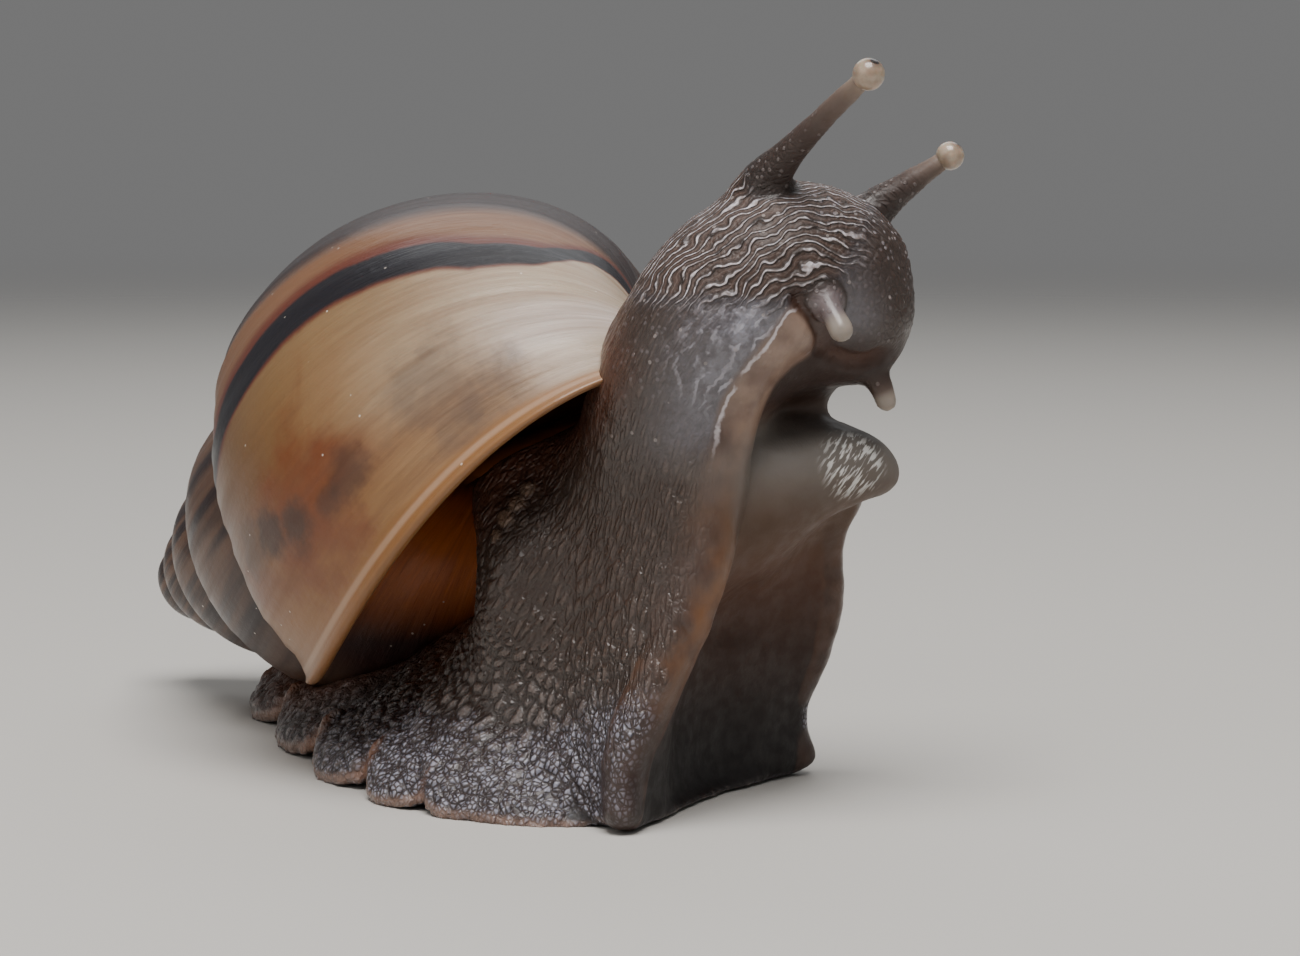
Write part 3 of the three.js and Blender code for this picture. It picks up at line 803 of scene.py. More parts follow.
class SnailSettings(bpy.types.PropertyGroup):
    """Sizes and colours that can be changed before the snail is built again."""

    lip_bead: length("Lip bead", "How far the rolled lip stands out of the shell", 0.55, 0.0, 1.5)
    fillet: length("Body fillet", "Radius of the hollows where the body's masses meet", 2.6, 0.5, 8)
    lobe_fillet: length("Lobe fillet", "Radius of the hollow between lobe and sole", 4.6, 0.5, 8)
    base_fillet: length("Base fillet", "Radius of the hollow between foot and body", 6.0, 0.5, 8)
    voxel: length("Skin mesh", "Length of the skin's mesh edges", 0.3, 0.2, 1.0)
    frill_lift: length("Frill lift", "How far the margin rises between its lobes", FRILL_LIFT, 0.0, 3)
    relief: length("Relief", "Height of the skin's cells over the grooves between them", 0.16, 0.0, 0.5)
    base_colour: paint("Shell base", "Pale colour of the shell's base", colour(182, 163, 142))
    band_colour: paint("Dark band", "Colour of the middle of the shell's dark band", colour(20, 16, 24))
    groove_colour: paint("Grooves", "Colour of the grooves in the skin low on the foot", colour(40, 29, 24))
    cell_colour: paint("Cells", "Colour of the skin's cells low on the foot", colour(122, 112, 108))
    sole_colour: paint("Sole", "Colour of the raised sole's upper part", colour(96, 54, 27))
    eye_colour: paint("Eye spots", "Colour of the spots at the tips of the eyes", colour(38, 30, 30))
    floor_colour: paint("Floor", "Colour of the floor", (0.56, 0.54, 0.51, 1.0))
    lens: bpy.props.FloatProperty(
        name="Lens", description="Focal length of the camera",
        default=100.0, min=20.0, max=300.0, unit="CAMERA",
    )
    key_power: bpy.props.FloatProperty(
        name="Key light", description="Power of the soft light overhead; the other lights follow it",
        default=3.6, min=0.0, max=20.0, unit="POWER",
    )


class SNAIL_OT_shell(bpy.types.Operator):
    """Winds the shell: the outside of the whorls, the rolled lip and the inside of the mouth."""

    bl_idname = "snail.shell"
    bl_label = "Shell"

    def execute(self, context):
        shell = wound_grid("shell_whorls", 150, 520, place_shell)
        dress(shell, shell_material())
        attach(shell, "root")
        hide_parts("shell")
        return {"FINISHED"}


# ------------------------------------------------------------------ the masses under the skin

LIMB_END = 0.12  # share of a limb's rings that close each of its round ends
LIMB_END_LENGTH = 0.8  # length of a round end next to its radius
FOOT_CAP = 0.01  # share of the rings that close each end of the foot, and of the column and the room
COLUMN_CAP = 0.02
FOOT_TOP = 0.7  # share of the foot's round that lies over it; the rest is its sole
DOME_INSET = 1.4  # how far the plain dome of the foot, which the fillet grows on, lies inside the frills
BASE_LEVELS = 3  # the column's lowest levels, which grow together with the foot
LOBE_LEVELS = 5  # and those that grow together with the lobe
ROOM_GROW = 0.12  # gap between the skin and the shell
ROOM_FIRST_TURN = -2 * math.pi * 2.4
ROOM_LENGTHS = 8
ROOM_VOXEL = 0.45
MASS_VOXEL = 0.5
JOINED_VOXEL = 0.4
FAR = 8.0  # distances to the shell's room are measured up to this


def path_frame(points, u):
    """Centres, tangents, sides and lifts of a path, as the limbs use them."""
    step = 1e-3
    centre = smooth_path(points, u)
    ahead = smooth_path(points, np.minimum(u + step, 1)) - smooth_path(points, np.maximum(u - step, 0))
    tangent = ahead / np.linalg.norm(ahead, axis=1, keepdims=True)
    side = np.cross((0, 0, 1), tangent)
    size = np.linalg.norm(side, axis=1, keepdims=True)
    side = np.where(size < 0.2, (0.0, 1.0, 0.0), side / np.maximum(size, 1e-6))
    return centre, tangent, side, np.cross(tangent, side)


def limb(name, sections, around=48, along=60):
    """A round or oval tube with round ends through sections of x, y, z and one or two radii."""
    sections = np.asarray(sections, float)
    path, across, up = sections[:, :3], sections[:, 3], sections[:, -1]

    def place(u, v):
        body = np.clip((u - LIMB_END) / (1 - 2 * LIMB_END), 0, 1)
        centre, tangent, side, lift = path_frame(path, body)
        a, b = smooth_values(across, body), smooth_values(up, body)
        bend = np.where(u > 1 - LIMB_END, (u - 1 + LIMB_END) / LIMB_END, 0.0)
        bend = np.where(u < LIMB_END, (LIMB_END - u) / LIMB_END, bend) * math.pi / 2
        slide = np.sign(u - 0.5) * np.sin(bend) * np.minimum(a, b) * LIMB_END_LENGTH
        turn = 2 * math.pi * v
        ring = side * (a * np.cos(bend) * np.cos(turn))[:, None]
        ring = ring + lift * (b * np.cos(bend) * np.sin(turn))[:, None]
        return centre + tangent * slide[:, None] + ring

    return wound_grid(name, around, along, place)


def ruffle(place):
    """How much the margin is frilled at places along it, and how deep in a notch between two lobes."""
    frilled = np.sqrt(np.maximum(np.sin(math.pi * np.minimum(1, place / FRILL_END)), 0))
    notch = 1 - np.abs(np.sin(math.pi * (FRILLS * place + FRILL_PHASE))) ** FRILL_SHARPNESS
    return frilled, notch


def make_foot(inset=0.0):
    """The foot on the floor; with an inset, only its plain dome, without the frills."""
    right, left = ([(x, y, 0) for x, y in margin] for margin in (RIGHT_MARGIN, LEFT_MARGIN))
    depth = FRILL_DEPTH if inset == 0 else 0.0

    def place(u, v):
        inside, close = capped(u, FOOT_CAP)
        close = np.sqrt(close)
        height = smooth_values(FOOT_HEIGHT, inside)
        frilled, notch = ruffle(inside)
        frill = depth * frilled * (2 * notch - 1) + inset
        a, b = smooth_path(right, inside), smooth_path(left, inside)
        across = (b - a) / np.linalg.norm(b - a, axis=1, keepdims=True)
        a, b = a + across * frill[:, None], b - across * frill[:, None]
        thick = np.minimum(MARGIN_THICKNESS, height / 2)
        # once round: over the top first, then back under the sole
        top = v < FOOT_TOP
        share = np.where(top, v / FOOT_TOP, 1 - (v - FOOT_TOP) / (1 - FOOT_TOP))
        share = 0.5 - 0.5 * np.cos(math.pi * share)
        edge = np.abs(2 * share - 1)
        over = thick + (height - thick) * (1 - edge ** 1.25) ** 1.15
        round_edge = np.sqrt(np.clip(1 - rise(edge, 0.94, 1.0), 0, 1))
        z = np.where(top, over * (0.5 + 0.5 * round_edge) * round_edge ** 0.5, 0.0)
        p = a + (b - a) * share[:, None]
        p[:, 0] -= FRONT_HOLLOW * inside ** 4 * np.maximum(np.sin(math.pi * share), 0) ** HOLLOW_FULLNESS
        middle = a + (b - a) * 0.5
        p = middle + (p - middle) * close[:, None]
        p[:, 2] = z * close
        return p

    return wound_grid("foot", 120, 220, place)


def make_column(levels=len(COLUMN)):
    """The raised front of the foot, up to the given level of its table."""
    table = np.array(COLUMN[:levels], float)

    def place(u, v):
        inside, close = capped(u, COLUMN_CAP)
        z, x, y, face, right, left, back, rim, trough = smooth_values(table, inside).T
        zero = np.zeros_like(z)
        outline = [
            (-back, zero), (-0.72 * back, -0.72 * right), (zero, -right), (0.8 * rim, -0.98 * right),
            (rim, -0.84 * right), (0.6 * rim, -0.6 * right), (trough, zero), (0.6 * rim, 0.6 * left),
            (rim, 0.84 * left), (0.8 * rim, 0.98 * left), (zero, left), (-0.72 * back, 0.72 * left),
        ]
        p = np.empty((len(u), 3))
        for ring in np.unique(u):
            here = u == ring
            k = np.argmax(here)
            loop = [(f[k], l[k], 0.0) for f, l in outline]
            flat = smooth_path(loop, v[here] % 1.0, closed=True)
            turn = math.radians(face[k])
            p[here, 0] = flat[:, 0] * math.cos(turn) - flat[:, 1] * math.sin(turn) + x[k]
            p[here, 1] = flat[:, 0] * math.sin(turn) + flat[:, 1] * math.cos(turn) + y[k]
            p[here, 2] = z[k]
        middle = np.stack([x, y, z], 1)
        return middle + (p - middle) * close[:, None]

    return wound_grid("column", 96, 80, place)


def room_length(start, end):
    """One length of the space that the shell fills, between two turns of its winding."""

    def place(u, v):
        inside, close = capped(u, COLUMN_CAP)
        turn = start + (end - start) * inside
        ring = spiral_points(turn, 2 * math.pi * v, ROOM_GROW)
        middle = section_middle(turn, ROOM_GROW)
        return middle + (ring - middle) * close[:, None]

    return wound_grid("room", 72, 26, place)


def make_room():
    """The space that the shell fills, a little grown, as one closed body."""
    turns = np.linspace(ROOM_FIRST_TURN, 0.0, ROOM_LENGTHS + 1).tolist()
    room = join([room_length(start, end) for start, end in zip(turns, turns[1:])], "room")
    apply_modifier(room, "REMESH", mode="VOXEL", voxel_size=ROOM_VOXEL * MM)
    return room


def grow_together(parts, name, fillet):
    """Joins masses and fills the creases between: they are swollen as one and shrunk again."""
    body = join(parts, name)
    apply_modifier(body, "REMESH", mode="VOXEL", voxel_size=MASS_VOXEL * MM)
    apply_modifier(body, "DISPLACE", strength=fillet, mid_level=0.0)
    apply_modifier(body, "REMESH", mode="VOXEL", voxel_size=MASS_VOXEL * MM)
    smooth_points(body, 4, np.full(len(body.data.vertices), 0.5))
    apply_modifier(body, "DISPLACE", strength=-fillet, mid_level=0.0)
    points = get_points(body)
    points[:, 2] = np.maximum(points[:, 2], 0.0)
    set_points(body, points)
    return body


def make_skin(settings):
    """The whole skin: masses grown together, cut free of the shell, smoothed and given their relief."""
    base = [make_foot(DOME_INSET), make_column(BASE_LEVELS), limb("stalk", STALK, 64, 50)]
    masses = [make_column(), limb("neck", NECK, 64, 80), limb("stalk", STALK, 64, 50)]
    sole = [make_column(), limb("rim_right", RIGHT_RIM, 32, 120), limb("rim_left", LEFT_RIM, 32, 100)]
    front = [make_column(LOBE_LEVELS), limb("lobe", LOBE, 56, 50)]
    parts = [
        grow_together(masses, "body", settings.fillet),
        grow_together(sole, "raised_sole", settings.fillet),
        grow_together(base, "base", settings.base_fillet),
        grow_together(front, "front_lobe", settings.lobe_fillet),
        make_foot(),
    ]
    parts += [limb(name, sections, 32, 70) for name, sections in FEELERS.items()]
    skin = join(parts, "skin")
    apply_modifier(skin, "REMESH", mode="VOXEL", voxel_size=JOINED_VOXEL * MM)
    room = make_room()
    apply_modifier(skin, "BOOLEAN", operation="DIFFERENCE", object=room, solver="MANIFOLD")
    corners, faces = [v.co for v in room.data.vertices], [f.vertices for f in room.data.polygons]
    walls = BVHTree.FromPolygons(corners, faces)
    bpy.data.objects.remove(room)
    apply_modifier(skin, "REMESH", mode="VOXEL", voxel_size=settings.voxel)
    keep_largest(skin)
    points = get_points(skin)
    gap = np.array([walls.find_nearest(v.co, FAR * MM)[3] or FAR * MM for v in skin.data.vertices]) / MM
    # the feelers, the margin, the edge by the shell and the rims are smoothed least
    fine = np.maximum(fine_parts(points), 1 - rise(gap, 0.3, 1.6))
    rims = np.minimum(near_path(points, RIGHT_RIM), near_path(points, LEFT_RIM))
    edge = 1 - rise(rims, 0.2, 2.0)
    soft = (1 - fine) * (1 - 0.85 * edge)
    smooth_points(skin, 40, 0.6 * soft)
    smooth_points(skin, 6, 0.5 * (1 - 0.9 * fine))
    shape_skin(skin, gap, settings)
    return skin


# ------------------------------------------------------------------ the skin's zones and relief

SPINE = [  # the line that the skin's relief follows, up the foot and over the neck
    (5.0, -1.0, 0.0), (8.0, -1.5, 8.0), (10.5, -2.6, 16.0), (13.5, -3.5, 24.0),
    (17.0, -2.5, 31.0), (19.7, 1.2, 34.5), (21.4, 4.1, 34.5), (23.5, 6.0, 30.0),
]
CELLS_ACROSS = [0.85, 1.1, 2.1, 2.8, 3.0, 2.6, 2.3, 2.4]  # cells of the relief in a millimetre
CELLS_ALONG = [0.85, 0.75, 0.7, 0.65, 0.75, 1.2, 1.9, 2.2]  # both from the foot of the spine to its end
SPINE_REFERENCE = np.array([0.86, -0.5, 0.0])  # the side that the first coordinate grows towards
SPINE_SOFTNESS = 3.0  # how far along the spine its directions are blended


def woven(points):
    """Coordinates in cells of the relief: two across the spine and one along it."""
    u = np.linspace(0, 1, 80)
    centre, tangent, _, _ = path_frame(SPINE, u)
    side = SPINE_REFERENCE - tangent * (tangent @ SPINE_REFERENCE)[:, None]
    side /= np.linalg.norm(side, axis=1, keepdims=True)
    lift = np.cross(tangent, side)
    across, along = smooth_values(CELLS_ACROSS, u), smooth_values(CELLS_ALONG, u)
    steps = np.linalg.norm(np.diff(centre, axis=0), axis=1)
    passed = np.concatenate([[0], np.cumsum(steps * (along[1:] + along[:-1]) / 2)])
    squares = ((points[:, None] - centre[None]) ** 2).sum(-1)
    share = np.exp(-(squares - squares.min(1, keepdims=True)) / (2 * SPINE_SOFTNESS ** 2))
    share /= share.sum(1, keepdims=True)
    offset = points - share @ centre
    width = share @ across
    return np.stack([
        (offset * (share @ side)).sum(1) * width,
        (offset * (share @ lift)).sum(1) * width,
        share @ passed + (offset * (share @ tangent)).sum(1) * (share @ along),
    ], 1)


def foot_place(points):
    """Where points lie on the foot: place along the nearer margin, tail first, and how far inside it."""
    distance, place, inside = np.full(len(points), 1e9), np.zeros(len(points)), np.zeros(len(points))
    u = np.linspace(0, 1, 300)
    margins = ([(x, y, 0) for x, y in margin] for margin in (RIGHT_MARGIN, LEFT_MARGIN))
    right, left = (smooth_path(margin, u)[:, :2] for margin in margins)
    across = (left - right) / np.linalg.norm(left - right, axis=1, keepdims=True)
    frilled, notch = ruffle(u)
    frill = FRILL_DEPTH * frilled * (2 * notch - 1)
    for margin, inward in ((right, across), (left, -across)):
        for centre, direction, share, shift in zip(margin, inward, u, frill):
            offset = points[:, :2] - centre
            from_it = np.hypot(offset[:, 0], offset[:, 1])
            closer = from_it < distance
            distance[closer], place[closer] = from_it[closer], share
            inside[closer] = (offset @ direction)[closer] - shift
    return place, inside


def sole_place(points):
    """How far in front of the trough points lie, and how far inside the nearer rim."""
    table = np.array(COLUMN, float)
    z = points[:, 2]
    x, y, face, trough = (np.interp(z, table[:, 0], table[:, k]) for k in (1, 2, 3, 8))
    turn = np.radians(face)
    forward = (points[:, 0] - x) * np.cos(turn) + (points[:, 1] - y) * np.sin(turn)
    left = (points[:, 1] - y) * np.cos(turn) - (points[:, 0] - x) * np.sin(turn)
    limits = []
    for rim in (RIGHT_RIM, LEFT_RIM):
        path = smooth_path(np.array(rim, float)[:, :3], np.linspace(0, 1, 60))
        rim_x, rim_y = (np.interp(z, path[:, 2], path[:, k]) for k in (0, 1))
        limits.append((rim_y - y) * np.cos(turn) - (rim_x - x) * np.sin(turn))
    return forward - trough, np.minimum(left - limits[0], limits[1] - left)


def store(obj, name, values):
    """Stores a number or a vector on each vertex."""
    values = np.asarray(values, np.float32)
    kind, field = ("FLOAT", "value") if values.ndim == 1 else ("FLOAT_VECTOR", "vector")
    layer = obj.data.attributes.new(name, kind, "POINT")
    layer.data.foreach_set(field, values.ravel())


BEADS = [  # pale beads along the mantle's edge, by the shell: place and reach
    ((5.6, -10.0, 19.2), 0.7), ((6.0, -9.3, 20.2), 0.65),
    ((6.3, -8.6, 21.1), 0.6), ((5.2, -10.4, 18.0), 0.55),
]
BEAD_HEIGHT = 0.25
CREASE = [  # the fold between the head and the lower right feeler: place and radius
    (24.9, -2.0, 34.2, 0.3), (25.2, -1.0, 33.2, 0.3), (25.1, 0.1, 32.0, 0.35), (24.7, 0.4, 31.0, 0.3),
]
MOUTH = [(25.0, 1.2, 30.4, 0.3), (25.5, 2.6, 30.0, 0.35), (26.0, 3.9, 30.6, 0.3)]
FOLD_DEPTH = 0.45
LUMP_HEIGHT = 0.22
LUMP_SIZE = 5.0
GROOVE_DEPTH = 0.25  # of the grooves that run up from the notches of the margin
RIM_HEIGHT = 0.14  # how far the right rim stands out of its solid
SOLE_TURN = math.radians(12)  # the way that the raised sole looks
HEAD_SIDEWAYS = np.array([0.6947, 0.7193, 0.0])  # across the head, from its right to its left


def feeler_share(points):
    """How far up a feeler points lie, from 0 off the feelers to 1 at their tips."""
    share = np.zeros(len(points))
    for sections in FEELERS.values():
        tip, root = np.array(sections[-1][:3]), np.array(sections[1][:3])
        along = 1 - np.linalg.norm(points - tip, axis=1) / np.linalg.norm(tip - root)
        on_it = 1 - rise(near_path(points, sections[1:]), 0.15, 0.7)
        share = np.maximum(share, np.clip(along, 0, 1) * on_it)
    return share


def skin_zones(points, normals):
    """The skin's zones at its points, most of them shares from 0 to 1, and places that its looks follow."""
    z = points[:, 2]
    place, inside = foot_place(points)
    from_right, from_left = near_path(points, RIGHT_RIM), near_path(points, LEFT_RIM)
    right, left = (1 - rise(from_rim, -0.1, 0.4) for from_rim in (from_right, from_left))
    ahead, between = sole_place(points)
    facing = normals[:, 0] * math.cos(SOLE_TURN) + normals[:, 1] * math.sin(SOLE_TURN)
    sole = rise(ahead, -1.4, -0.6) * rise(between, -0.4, 0.4) * rise(facing, -0.1, 0.25)
    sole = sole * (1 - rise(z, 30, 33)) * rise(z, 0.1, 0.6)
    lobe = (1 - rise(near_path(points, LOBE), 0.5, 3.5)) * rise(z, 13, 20) * rise(ahead, -1, 0.5)
    lobe *= 1 - rise(z, 25.0, 27.5)
    feeler = feeler_share(points) * (1 - right)
    smooth_zone = np.maximum.reduce([right, left, sole, lobe])
    sideways = points @ HEAD_SIDEWAYS
    ridged = rise(z + 0.6 * uneven(points, 2.5, 3.0), 33.2, 35.2)
    ridged = ridged * (1 - rise(sideways - 0.5 * (z - 36), 17.5, 20.5))
    wet = (1 - rise(from_right, 1.0, 5.5)) * rise(z, 22, 27) * (1 - ridged)
    rough = (1 - smooth_zone) * (1 - 0.6 * rise(z, 12, 22)) * (1 - feeler)
    rough = rough * rise(inside + np.maximum(z - 4, 0), 0.0, 0.4) * (1 - 0.9 * wet) * (1 - ridged)
    rough = rough * rise(np.minimum(from_right, from_left), 0.3, 1.3)
    bead = np.zeros(len(points))
    for centre, reach in BEADS:
        bead = np.maximum(bead, 1 - (np.linalg.norm(points - centre, axis=1) / reach) ** 2)
    folds = np.minimum(near_path(points, CREASE), near_path(points, MOUTH))
    return {
        "place": place, "inside": inside, "right": right, "sole": sole, "lobe": lobe, "feeler": feeler,
        "from_right": np.clip(from_right, -2, 8), "from_left": np.clip(from_left, -2, 8),
        "between": np.clip(between, -4, 8), "bead": bead, "rough": rough, "wet": wet * (1 - smooth_zone),
        "ridged": ridged * (1 - smooth_zone) * (1 - rise(feeler, 0, 0.2)),
        "crease": (1 - rise(folds, 0.0, 0.7)) * (1 - rise(feeler, 0.02, 0.2)),
    }


def shape_skin(skin, gap, settings):
    """Ruffles the foot's margin, raises the skin's lumps, folds and relief, and stores its zones."""
    points, normals = get_points(skin), get_normals(skin)
    zones = skin_zones(points, normals)
    inside, z = zones["inside"], points[:, 2]
    frilled, notch = ruffle(zones["place"])
    lift = settings.frill_lift / MM * frilled * notch ** 1.3
    lift = lift * (1 - rise(inside, 0.4, 3.6)) * (1 - rise(z, 1.5, 6))
    groove = GROOVE_DEPTH * frilled * notch ** 3 * rise(inside, 0.8, 2.4)
    groove = groove * (1 - rise(inside, 3, 6)) * rise(z, 1, 2.5)
    lumps = LUMP_HEIGHT * uneven(points, LUMP_SIZE, 1.0) * rise(z, 0.5, 3) * (1 - 0.7 * zones["feeler"])
    free = rise(gap, 0.2, 1.5)
    points += normals * (free * (lumps - groove + RIM_HEIGHT * zones.pop("right")))[:, None]
    points += normals * (BEAD_HEIGHT * np.sqrt(zones["bead"]) - FOLD_DEPTH * zones["crease"])[:, None]
    z[:] = np.maximum(z, 0) + lift
    set_points(skin, points)
    zones["inside"] = np.minimum(inside + np.maximum(z - 5, 0), 12)
    zones["rough"] = zones["rough"] * rise(z, 0.1, 0.5) * free
    zones.update(weave=woven(points), notch=frilled * notch, gap=gap)
    for name, values in zones.items():
        store(skin, name, values)
    raise_relief(skin, settings.relief)


def raise_relief(skin, relief):
    """Lifts the middle of each cell of the skin over the grooves between."""
    group = bpy.data.node_groups.new("skin_relief", "GeometryNodeTree")
    for direction in ("INPUT", "OUTPUT"):
        group.interface.new_socket("Geometry", in_out=direction, socket_type="NodeSocketGeometry")
    t = Tree(group)
    weave = t.node("GeometryNodeInputNamedAttribute", data_type="FLOAT_VECTOR")
    weave.inputs["Name"].default_value = "weave"
    rough = t.node("GeometryNodeInputNamedAttribute", data_type="FLOAT")
    rough.inputs["Name"].default_value = "rough"
    height = t.times(t.spread(t.cells(weave.outputs[0], 1.0), 0.0, 0.3), rough.outputs[0], relief)
    move = t.node("GeometryNodeSetPosition")
    t.link(t.node("NodeGroupInput").outputs[0], move.inputs["Geometry"])
    outwards = t.node("GeometryNodeInputNormal").outputs[0]
    t.link(t.vector("SCALE", outwards, scale=height), move.inputs["Offset"])
    t.link(move.outputs[0], t.node("NodeGroupOutput").inputs[0])
    apply_modifier(skin, "NODES", node_group=group)


def smooth_points(obj, rounds, weights):
    """Moves each point towards the mean of its neighbours, by its own weight, so many times."""
    mesh = obj.data
    edges = np.empty(len(mesh.edges) * 2, np.int32)
    mesh.edges.foreach_get("vertices", edges)
    a, b = edges.reshape(-1, 2).T
    count = len(mesh.vertices)
    degree = np.bincount(a, minlength=count) + np.bincount(b, minlength=count)
    points = get_points(obj)
    weights = weights[:, None]
    for _ in range(rounds):
        mean = np.stack(
            [np.bincount(a, points[b, k], count) + np.bincount(b, points[a, k], count) for k in range(3)], 1
        ) / degree[:, None]
        points += (mean - points) * weights
    set_points(obj, points)


def near_path(points, sections):
    """Distance from each point to a path's centreline, less the path's radius there."""
    sections = np.asarray(sections, float)
    u = np.linspace(0, 1, 40)
    path = smooth_path(sections[:, :3], u)
    radius = smooth_values(sections[:, 3], u)
    best = np.full(len(points), 1e9)
    for start, end, first, last in zip(path[:-1], path[1:], radius[:-1], radius[1:]):
        step, offset = end - start, points - start
        share = np.clip(offset @ step / (step @ step), 0, 1)
        offset -= share[:, None] * step
        best = np.minimum(best, np.sqrt((offset ** 2).sum(1)) - first - (last - first) * share)
    return best


def fine_parts(points):
    """1 on the feelers, the foot's margin and its floor, where smoothing would eat the shape away."""
    fine = 1 - rise(points[:, 2], 1.0, 2.6)
    for sections in FEELERS.values():
        fine = np.maximum(fine, 1 - rise(near_path(points, sections[1:]), 0.3, 1.2))
    return fine


def keep_largest(obj):
    """Deletes all but the largest loose part."""
    select_only(obj)
    bpy.ops.mesh.separate(type="LOOSE")
    pieces = sorted(bpy.context.selected_objects, key=lambda o: -len(o.data.vertices))
    for extra in pieces[1:]:
        bpy.data.objects.remove(extra)
    if pieces[0] != obj:
        raise RuntimeError("the skin lost its main part")


# ------------------------------------------------------------------ the skin's look

ZONES = (
    "sole", "lobe", "feeler", "inside", "place", "gap", "ridged", "wet", "notch",
    "from_right", "from_left", "bead", "crease", "between",
)
LOBE_SHINE = (24.0, 4.2, 23.2)  # middle of the lobe's painted highlight streaks
# along the streaks and twice across them, each as long as its noise is fine
STREAK_DIRECTIONS = ((0.35, 0.37, 0.68), (2.7, 2.8, -3.0), (-0.7, 0.68, 0.0))
WET_HIGHLIGHTS = (22.0, -6.0, 31.2)  # middle of the painted sheen and rippled highlights beside the rim
HEAD_BEADS = (24.4, 5.4, 39.6)  # middle of the rows of beads between the upper feelers
RIDGES_AROUND = 10.8  # ridges in a radian round the neck
RIDGE_SWAY = 4.2  # ridges by which the widest sway shifts them
LOWER_RIGHT_TOP = 35.0  # the lower right feeler lies under this height and to the right of this place
LOWER_RIGHT_SIDE = 2.5


class SkinTree(Tree):
    """The skin's node tree, with its stored zones and the uneven values and shares that its looks share."""

    def __init__(self, tree):
        super().__init__(tree)
        for name in ZONES:
            setattr(self, name, self.attribute(name))
        self.weave = self.attribute("weave", "Vector")
        self.here = self.millimetres()
        _, self.y, self.z = self.split(self.here)
        self.blotch = self.noise(self.here, 0.28, 4.0)
        self.fleck = self.noise(self.here, 2.2, 4.0, 0.6)
        self.plain = self.rest(self.ridged, self.wet)
        self.head = self.spread(self.z, 30, 36)
        self.face = self.times(self.head, self.plain)
        # granules above the margin, most of them on the front half of the foot
        grown = self.math("ADD", self.inside, self.times(self.blotch, 4.0))
        self.grainy = self.times(self.spread(grown, 8.5, 4.5), self.spread(self.place, 0.25, 0.68))
        # cells of the relief, and finer ones that bend with them
        self.edge = self.cells(self.weave, 1.0)
        bent = self.vector("SCALE", self.noise_vector(self.here, 0.9), scale=0.35)
        bent = self.vector("SCALE", self.vector("ADD", self.weave, bent), scale=0.15)
        self.fine_edge = self.cells(self.vector("ADD", self.here, bent), 2.3)
        # ridges that run along the neck
        across, lift, _ = self.split(self.weave)
        small_sway = self.times(self.noise(self.here, 0.9, 1.0), 0.35)
        sway = self.math("ADD", self.noise(self.here, 0.34, 1.0), small_sway)
        ridges = self.times(self.math("ARCTAN2", lift, across), RIDGES_AROUND)
        self.phase = self.times(self.math("ADD", ridges, self.times(sway, RIDGE_SWAY)), 2 * math.pi)
        self.wave = self.math("SINE", self.phase)
        # small beads in rows on the head's front, and fewer on the rest of the head and neck
        self.dots = self.spread(self.cells(self.here, 1.7, "F1", 0.6), 0.3, 0.16)
        rows = self.spread(self.distance(self.here, HEAD_BEADS), 6.5, 4.0)
        rows = self.times(rows, self.spread(self.noise(self.here, 0.5), 0.35, 0.55))
        self.beaded = self.most(rows, self.times(self.plain, self.spread(self.z, 24, 30), 0.3))
        self.find_rims()

    def find_rims(self):
        """Shares of the raised sole's rims: the right one has a soft, uneven edge, wider at mid height."""
        wobble = self.spread(self.noise(self.here, 0.4, 3.0), 0.3, 0.7, -0.35, 0.35)
        self.across = self.math("ADD", self.between, wobble)
        self.rim_left = self.spread(self.from_left, 0.3, 0.0)
        soft_edge = self.spread(self.z, 23, 28, 0.25, 0.55)
        soft_edge = self.math("ADD", soft_edge, self.times(self.fade(self.z, 11.5, 16, 21, 27), 1.1))
        start = self.spread(self.z, 8, 20, -1.9, -3.2)
        bare = self.spread(self.across, start, self.spread(self.z, 8, 20, -0.4, -1.2))
        bare = self.most(bare, self.spread(self.z, 23, 28))
        self.rim = self.times(self.most(self.spread(self.from_right, soft_edge, 0.0), self.rim_left), bare)


def ground(t):
    """Cells between dark grooves: paler low on the foot, browner up the neck, darker on the face."""
    groove = t.mix(t.spread(t.z, 3, 12), "groove_colour", "groove_high")
    pale = t.mix(t.spread(t.z, 3, 13), "cell_colour", "cell_high")
    pale = t.mix(t.head, pale, "cell_head")
    pale = t.tint(pale, "cell_fleck", t.spread(t.fleck, 0.35, 0.7), 0.5)
    cell = t.times(t.spread(t.edge, 0.05, 0.32), t.spread(t.z, 8, 16, 1.0, 0.75))
    return t.tint(t.mix(cell, groove, pale), "face", t.face, 0.7)


def ridges_over(t, skin):
    """Wet ridges along the neck, wavy and broken, with thin painted highlights on their crests, between brown
    hollows.
    """
    hollow = t.mix(t.spread(t.wave, -0.9, 0.5), "hollow", "hollow_deep")
    hollow = t.mix(t.spread(t.ridged, 1.0, 0.5), hollow, "hollow_edge")
    hollow = t.tint(hollow, "fine_ridge", t.spread(t.math("SINE", t.times(t.phase, 3.0)), 0.5, 0.95), 0.3)
    broken = t.spread(t.noise(t.here, 0.8, 3.0, 0.6), 0.32, 0.5)
    # painted highlight: pale lines on the ridge crests
    crest_highlight = t.mix(t.spread(t.fleck, 0.35, 0.65), "ridge", "ridge_wet")
    return t.mix(t.ridged, skin, t.mix(t.times(t.spread(t.wave, 0.7, 0.97), broken), hollow, crest_highlight))


